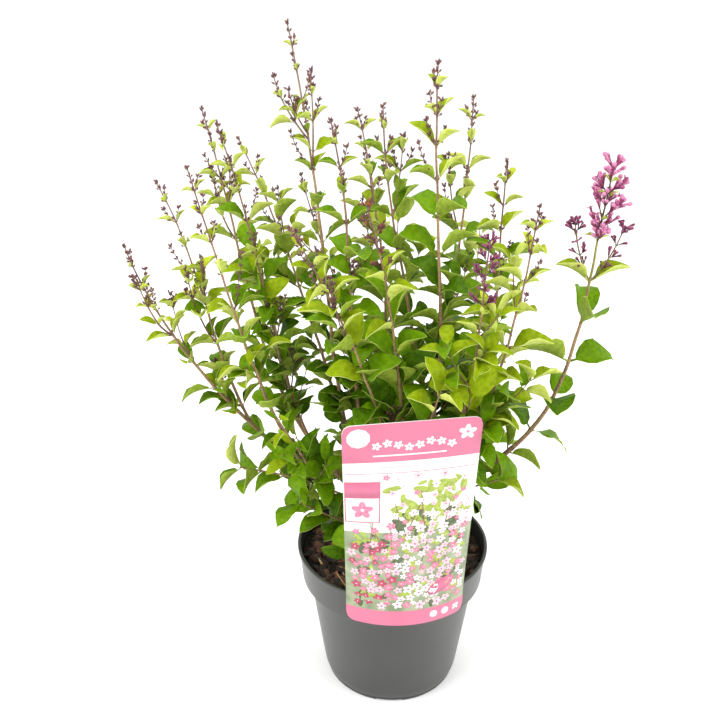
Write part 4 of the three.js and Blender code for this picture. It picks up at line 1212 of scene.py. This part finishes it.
def grown_leaves(twig):
    """The pairs of leaves of a twig, as shape, matrix and tone."""
    placed = []
    key = twig.limb.key
    grown_lean = HEAD_LEAN if twig is head_twig else GROWN_LEAN
    for index, distance in enumerate(twig.nodes + twig.bracts):
        node, tangent = twig.limb.at(twig.limb.length - distance)
        growth = twig.growth(distance) if index < len(twig.nodes) else BRACT_GROWTH
        for half in (0, 1):
            lean = between(0.75, 1.1, draw(key, index, 5 + half)) + grown_lean * growth
            roll = between(-0.4, 0.4, draw(key, index, 9 + half))
            size = twig.leaf * growth * between(0.85, 1.15, draw(key, index, 7 + half))
            angle = pair_angle(twig.limb, index) + half * math.pi
            along, up = leaf_frame(tangent, angle, lean, roll)
            start = node + along * (size * 0.16 + 0.5)
            across = up.cross(along)
            probes = [start + along * size * 0.5, start + along * size - up * size * 0.3,
                      start + (along * 0.4 + across * 0.3 + up * 0.12) * size,
                      start + (along * 0.4 - across * 0.3 + up * 0.12) * size]
            if not all(is_clear(probe) for probe in probes):
                continue
            depth = twig.below + distance
            # Painted shade: leaves near the crown's axis get deeper tones than their depth below the tip
            # alone gives.
            age_and_shade = 0.35 + depth / DEEP_EVERY + innerness(node) * 1.1
            age_and_shade += between(-0.6, 0.6, draw(key, index, 11 + half))
            tone = int(min(3, max(0, age_and_shade)))
            is_old = growth > between(0.7, 1.1, draw(key, index, 15))
            is_round = depth > between(180, 280, draw(key, index, 16))
            shape = int(draw(key, index, 13 + half) * FORMS_EACH) + FORMS_EACH * (is_old + is_round)
            form = Matrix.Diagonal((size, size * between(0.55, 1, growth), size, 1))
            placed.append((shape, stand(start, along, up) @ form, tone))
    return placed


# %% Dress the shoots in leaves
leaf_total = 0
for piece_name, members in CROWN_PARTS.items():
    placed = []
    for twig in twigs + side_twigs + bough_ends:
        if twig.mass in members:
            placed += grown_leaves(twig)
    leaf_total += len(placed)
    keep(piece_name, copies(piece_name, leaf_shapes, placed, LEAF_TONES), LEAF_FINISHES,
         [f"foliage_{member}" for member in members], crease=0)
print("leaves:", leaf_total)

# %% [markdown]
# ## Buds at the tips
# Most shoots end in small dark buds, held in tight tufts: at the very tip, just below it
# and at the upper nodes. Thin side stalks from the upper leaf axils end in tufts too. There
# are hundreds of buds, so each is only a small ball of a few faces, drawn out to a point.

# %% Bud shapes
BUD_FINISHES = [finish("bud_dark", (108, 70, 68), (78, 48, 50), 700, 0.5),
                finish("bud_brown", (140, 100, 84), (108, 74, 62), 700, 0.55),
                finish("bud_plum", (122, 74, 84), (94, 54, 64), 700, 0.5)]


def bud_shape(length, radius):
    bm = bmesh.new()
    bmesh.ops.create_icosphere(bm, subdivisions=1, radius=1)
    for vert in bm.verts:
        narrow = radius * (1 - 0.62 * max(0, vert.co.x) ** 1.5)
        vert.co = Vector(((vert.co.x + 1) * length / 2, vert.co.y * narrow, vert.co.z * narrow))
    return Shape(bm)


bud_shapes = [bud_shape(3.2, 0.85), bud_shape(4.2, 1.0), bud_shape(2.6, 0.8)]
print("faces of a bud:", len(bud_shapes[0].sizes))

# %% Bud tufts
TIP_TUFTS = [(0, 6, 1.0), (7, 4, 1.8), (14, 2, 1.8)]  # below the tip, buds and their stalks
BUD_NODES, SIDE_BUD_NODES, STALK_LEAN = 5, 2, 0.62
buds, bud_stalks = [], []


def stations(limb):
    return [(point, limb.radius(reach)) for point, reach in zip(limb.points, limb.reach)]


def bud_tuft(limb, below, count, stalk, key):
    """A tight tuft of buds at a distance below a limb's tip, each on a stalk of that length."""
    for i in range(count):
        node, tangent = limb.at(limb.length - below - i * 0.5)
        along, up = leaf_frame(tangent, key + i * 2.4, between(0.25, 0.95, draw(key, i, 1)))
        tip = node + along * stalk * between(0.6, 1.1, draw(key, i, 2))
        bud_stalks.append([(node, 0.35), (tip, 0.3)])
        buds.append((int(draw(key, i, 4) * 3), stand(tip, along, up), int(draw(key, i, 3) * 3)))


def side_stalk(limb, index, half, node, tangent, key):
    """A thin stalk from a leaf's axil, longer from lower nodes, with tufts along it."""
    along, _ = leaf_frame(tangent, pair_angle(limb, index) + half * math.pi, STALK_LEAN)
    length = between(6, 10, draw(key, index, half, 6))
    length += index * between(2, 7, draw(key, index, half, 8))
    stalk = Limb(climbing(node, along, node + along * length + UP * length * 0.45),
                 (0.5, 0.3), key + index * 2 + half, 0, 8)
    bud_stalks.append(stations(stalk))
    bud_tuft(stalk, 0, 5, 0.9, key + 40 + index * 2 + half)
    for k in range(1, 1 + int(stalk.length / 8)):
        bud_tuft(stalk, 6 * k, 3, 1.4, key + 60 + index * 9 + half * 4 + k)


for twig in twigs + side_twigs:
    if not twig.flowering:
        continue
    limb, key = twig.limb, twig.limb.key + 5000
    for row, (below, count, stalk) in enumerate(TIP_TUFTS):
        bud_tuft(limb, below, count, stalk, key + row)
    for index, distance in enumerate(twig.nodes[:BUD_NODES if twig in twigs else SIDE_BUD_NODES]):
        node, tangent = limb.at(limb.length - distance)
        bud_tuft(limb, distance - 1, 2 + int(draw(key, index, 7) * 4), 2.6, key + 10 + index)
        for half in (0, 1):
            if draw(key, index, half, 5) <= 0.74 - 0.07 * index:
                side_stalk(limb, index, half, node, tangent, key)
print("buds:", len(buds), "stalks:", len(bud_stalks))
bud_tones = [[0], [1], [2]]
keep("buds", copies("buds", bud_shapes, buds, bud_tones), BUD_FINISHES, crease=0)
keep("bud_stalks", tubes("bud_stalks", bud_stalks, 0), [WOOD[TIP_WOOD]], crease=0)

# %% [markdown]
# ## Flower heads
# One shoot is in bloom, with two slim side heads in bud below it. Another shoot is still in
# purple bud, and a third one is over. A floret is a slender tube with a rounded end, darker
# at its foot. A cone would be cheaper but has no swollen end, so a short profile is spun in
# seven steps. A few florets have opened into four lobes. They stand in crosswise clusters
# round the shoot's end.

# %% Floret shapes
FLORET_FINISHES = [finish("floret_pink", (168, 74, 120), (138, 50, 94), 500, 0.45),
                   finish("floret_base", (114, 40, 74), (86, 28, 54), 500, 0.5),
                   finish("floret_light", (210, 138, 174), (186, 104, 148), 500, 0.45),
                   finish("purple_bud", (138, 56, 100), (106, 36, 74), 500, 0.45),
                   finish("purple_dark", (104, 32, 70), (74, 22, 50), 500, 0.5),
                   finish("spent_brown", (112, 72, 62), (80, 48, 42), 500, 0.8),
                   finish("spent_orange", (164, 88, 50), (128, 62, 38), 500, 0.8)]
HEAD_STALK = finish("head_stalk", (140, 126, 72), (112, 92, 58), 500, 0.55)
SPENT_STALK = finish("spent_stalk", (96, 62, 58), (68, 44, 42), 500, 0.7)
# Each tone gives the finishes of a floret's tube, its foot and its end.
FLORET_TONES = [[0, 1, 2], [2, 0, 2], [3, 4, 3], [4, 4, 3], [3, 4, 0], [5, 5, 5], [6, 5, 6]]
TUBE, FLORET_FOOT, FLORET_END = range(3)
CLOSED_PROFILE = [(0, 0), (0.46, 0.06), (0.5, 0.3), (0.58, 0.6), (0.92, 0.78), (1, 0.88),
                  (0.7, 0.97), (0, 1)]
OPEN_PROFILE = [(0, 0), (0.5, 0.1), (0.45, 0.3), (0.5, 0.8), (0.7, 0.97), (0, 1)]
FOOT_SHARE, TUBE_SHARE = 0.28, 0.72
LOBES, LOBE_HALVES = 4, (1.9, 1.25, 0.28)


def floret_shape(length, radius, open_lobes):
    profile = OPEN_PROFILE if open_lobes else CLOSED_PROFILE
    bm = spun([(r * radius, z * length) for r, z in profile], 7)
    for face in bm.faces:
        height = face.calc_center_median().z / length
        face.material_index = (FLORET_FOOT if height < FOOT_SHARE
                               else TUBE if height < TUBE_SHARE else FLORET_END)
    for i in range(LOBES if open_lobes else 0):
        lobe = bmesh.ops.create_icosphere(bm, subdivisions=1, radius=1)["verts"]
        turn = Matrix.Rotation(i * math.tau / LOBES, 3, "Z") @ Matrix.Rotation(-0.25, 3, "Y")
        for vert in lobe:
            flat = Vector([c * half for c, half in zip(vert.co, LOBE_HALVES)])
            vert.co = turn @ (flat + Vector((LOBE_HALVES[0], 0, 0)))
            vert.co.z += length
        coloured(lobe, FLORET_END)
    bmesh.ops.rotate(bm, verts=bm.verts, matrix=Matrix.Rotation(math.pi / 2, 3, "Y"))
    return Shape(bm)


floret_shapes = [floret_shape(14.5, 2.05, False), floret_shape(12, 1.9, False),
                 floret_shape(13, 1.8, True)]
OPEN_FLORET = 2
print("faces of a floret:", len(floret_shapes[0].sizes))

# %% Flower heads
SIDE_ROWS = [(0, 2, 5), (5, 4, 4), (15, 5, 3), (27, 6, 4), (38, 4, 2)]
florets, floret_stalks, head_axes = [], [], []


def flower_head(limb, rows, tones, size, opened, key):
    """`rows` holds the distance below the tip, the branchlets' length and their florets.

    The tones are dealt out by chance, and `opened` is the share of open florets.
    """
    for i, (distance, arm, count) in enumerate(rows):
        node, tangent = limb.at(limb.length - distance)
        for half in (0, 1):
            angle = key + i * math.pi / 2 * 0.86 + half * math.pi
            along, _ = leaf_frame(tangent, angle, between(0.65, 0.95, draw(key, i, half, 1)))
            end = node + along * arm
            floret_stalks.append([(node, 0.8 * size), (end, 0.5 * size)])
            for k in range(count):
                root = node.lerp(end, between(0.35, 1, (k + 0.5) / count))
                side = angle + between(-1.1, 1.1, draw(key, i, half, k, 2))
                out, upward = leaf_frame(tangent, side, between(0.15, 1.25, draw(key, i, half, k, 3)))
                tone = tones[int(draw(key, i, half, k, 4) * len(tones))]
                shape = int(draw(key, i, half, k, 6) * OPEN_FLORET)
                if draw(key, i, half, k, 5) < opened:
                    shape = OPEN_FLORET
                scale = size * between(0.8, 1.12, draw(key, i, half, k, 7))
                florets.append((shape, stand(root, out, upward) @ Matrix.Scale(scale, 4), tone))


def side_head(limb, distance, half, length, key):
    """A slim, loose head of small purple buds from a leaf's axil."""
    node, tangent = limb.at(limb.length - distance)
    along, _ = leaf_frame(tangent, pair_angle(limb, 0) + half * math.pi, STALK_LEAN)
    end = node + along * length * 0.75 + UP * length * 0.35
    stalk = Limb(climbing(node, along, end), (0.9, 0.5), key, 0, 12)
    head_axes.append(stations(stalk))
    flower_head(stalk, SIDE_ROWS, [3, 3, 2, 4], 0.6, 0, key)


BLOOM_ROWS = [(9, 2, 4), (19, 7, 5), (30, 11, 8), (41, 9, 6), (51, 22, 14), (61, 10, 7), (71, 15, 12)]
PURPLE_ROWS = [(1, 2, 5), (8, 5, 6), (18, 7, 8), (30, 10, 9), (42, 10, 9), (54, 9, 8)]
SPENT_ROWS = [(0, 2, 5), (8, 6, 6), (26, 10, 9), (34, 10, 9), (48, 11, 9), (64, 9, 8)]
flower_head(masses["right"][0], BLOOM_ROWS, [0, 0, 1, 0, 4], 0.9, 0.07, 61)
for half in (0, 1):
    side_head(masses["right"][0], HEAD_ZONES[0], half, 50, 66 + half)
flower_head(masses["right_front"][1], PURPLE_ROWS, [2, 2, 4, 3, 2, 3], 0.5, 0.02, 62)
flower_head(masses["front"][0], SPENT_ROWS, [5, 5, 5, 5, 5, 6], 0.42, 0, 63)
print("florets in all heads:", len(florets))
floret_mesh = copies("florets", floret_shapes, florets, FLORET_TONES)
keep("florets", floret_mesh, FLORET_FINISHES, crease=0)
keep("floret_stalks", tubes("floret_stalks", floret_stalks, 0), [SPENT_STALK], crease=0)
keep("head_axes", tubes("head_axes", head_axes, 1), [HEAD_STALK], crease=0)

# %% [markdown]
# ## Floor, light and camera
# A plant for sale is shown on white, in light that comes from all sides. A sun would throw
# hard shadows from every leaf, so a white world and large soft lights keep the plant's own
# colours, over a pale floor. The camera stands in front of the plant, a little higher than
# its tip, and looks down by 24 degrees.

# %% Floor and light
floor_bm = bmesh.new()
bmesh.ops.create_grid(floor_bm, x_segments=1, y_segments=1, size=6000)
floor_mesh = mesh_from(floor_bm, "floor")
floor_mesh.materials.append(finish("floor_pale", (253, 253, 253), (252, 252, 252), 2, 0.9))
floor = bpy.data.objects.new("floor", floor_mesh)
bpy.context.scene.collection.objects.link(floor)

world = bpy.data.worlds.new("studio")
bpy.context.scene.world = world
world.use_nodes = True
background = world.node_tree.nodes["Background"]
background.inputs["Color"].default_value = (1, 1, 1, 1)
background.inputs["Strength"].default_value = 1.08


def soft_light(name, place, target, size, power):
    light = bpy.data.lights.new(name, "AREA")
    light.size = size
    light.energy = power
    holder = bpy.data.objects.new(name, light)
    holder.location = place
    way = Vector(target) - Vector(place)
    holder.rotation_euler = way.to_track_quat("-Z", "Y").to_euler()
    bpy.context.scene.collection.objects.link(holder)


soft_light("key", (-1.3, -0.9, 1.7), (0, 0, 0.3), 1.1, 24)
soft_light("fill", (1.5, -0.6, 1.1), (0, 0, 0.3), 1.1, 14)
soft_light("top", (0.1, 0.5, 2.0), (0, 0, 0.3), 1.2, 14)
print("lights:", len(bpy.data.lights))

# %% Camera
LOOK_DOWN, LOOK_LEFT = math.radians(24.3), math.radians(2.47)
lens = bpy.data.cameras.new("camera")
lens.lens = 45
lens.sensor_width = 36
camera = bpy.data.objects.new("camera", lens)
camera.location = (0, -0.753, 0.687)
camera.rotation_euler = (math.pi / 2 - LOOK_DOWN, 0, LOOK_LEFT)
bpy.context.scene.collection.objects.link(camera)
bpy.context.scene.camera = camera
bpy.context.scene.view_settings.view_transform = "Standard"
print("camera at", tuple(camera.location))
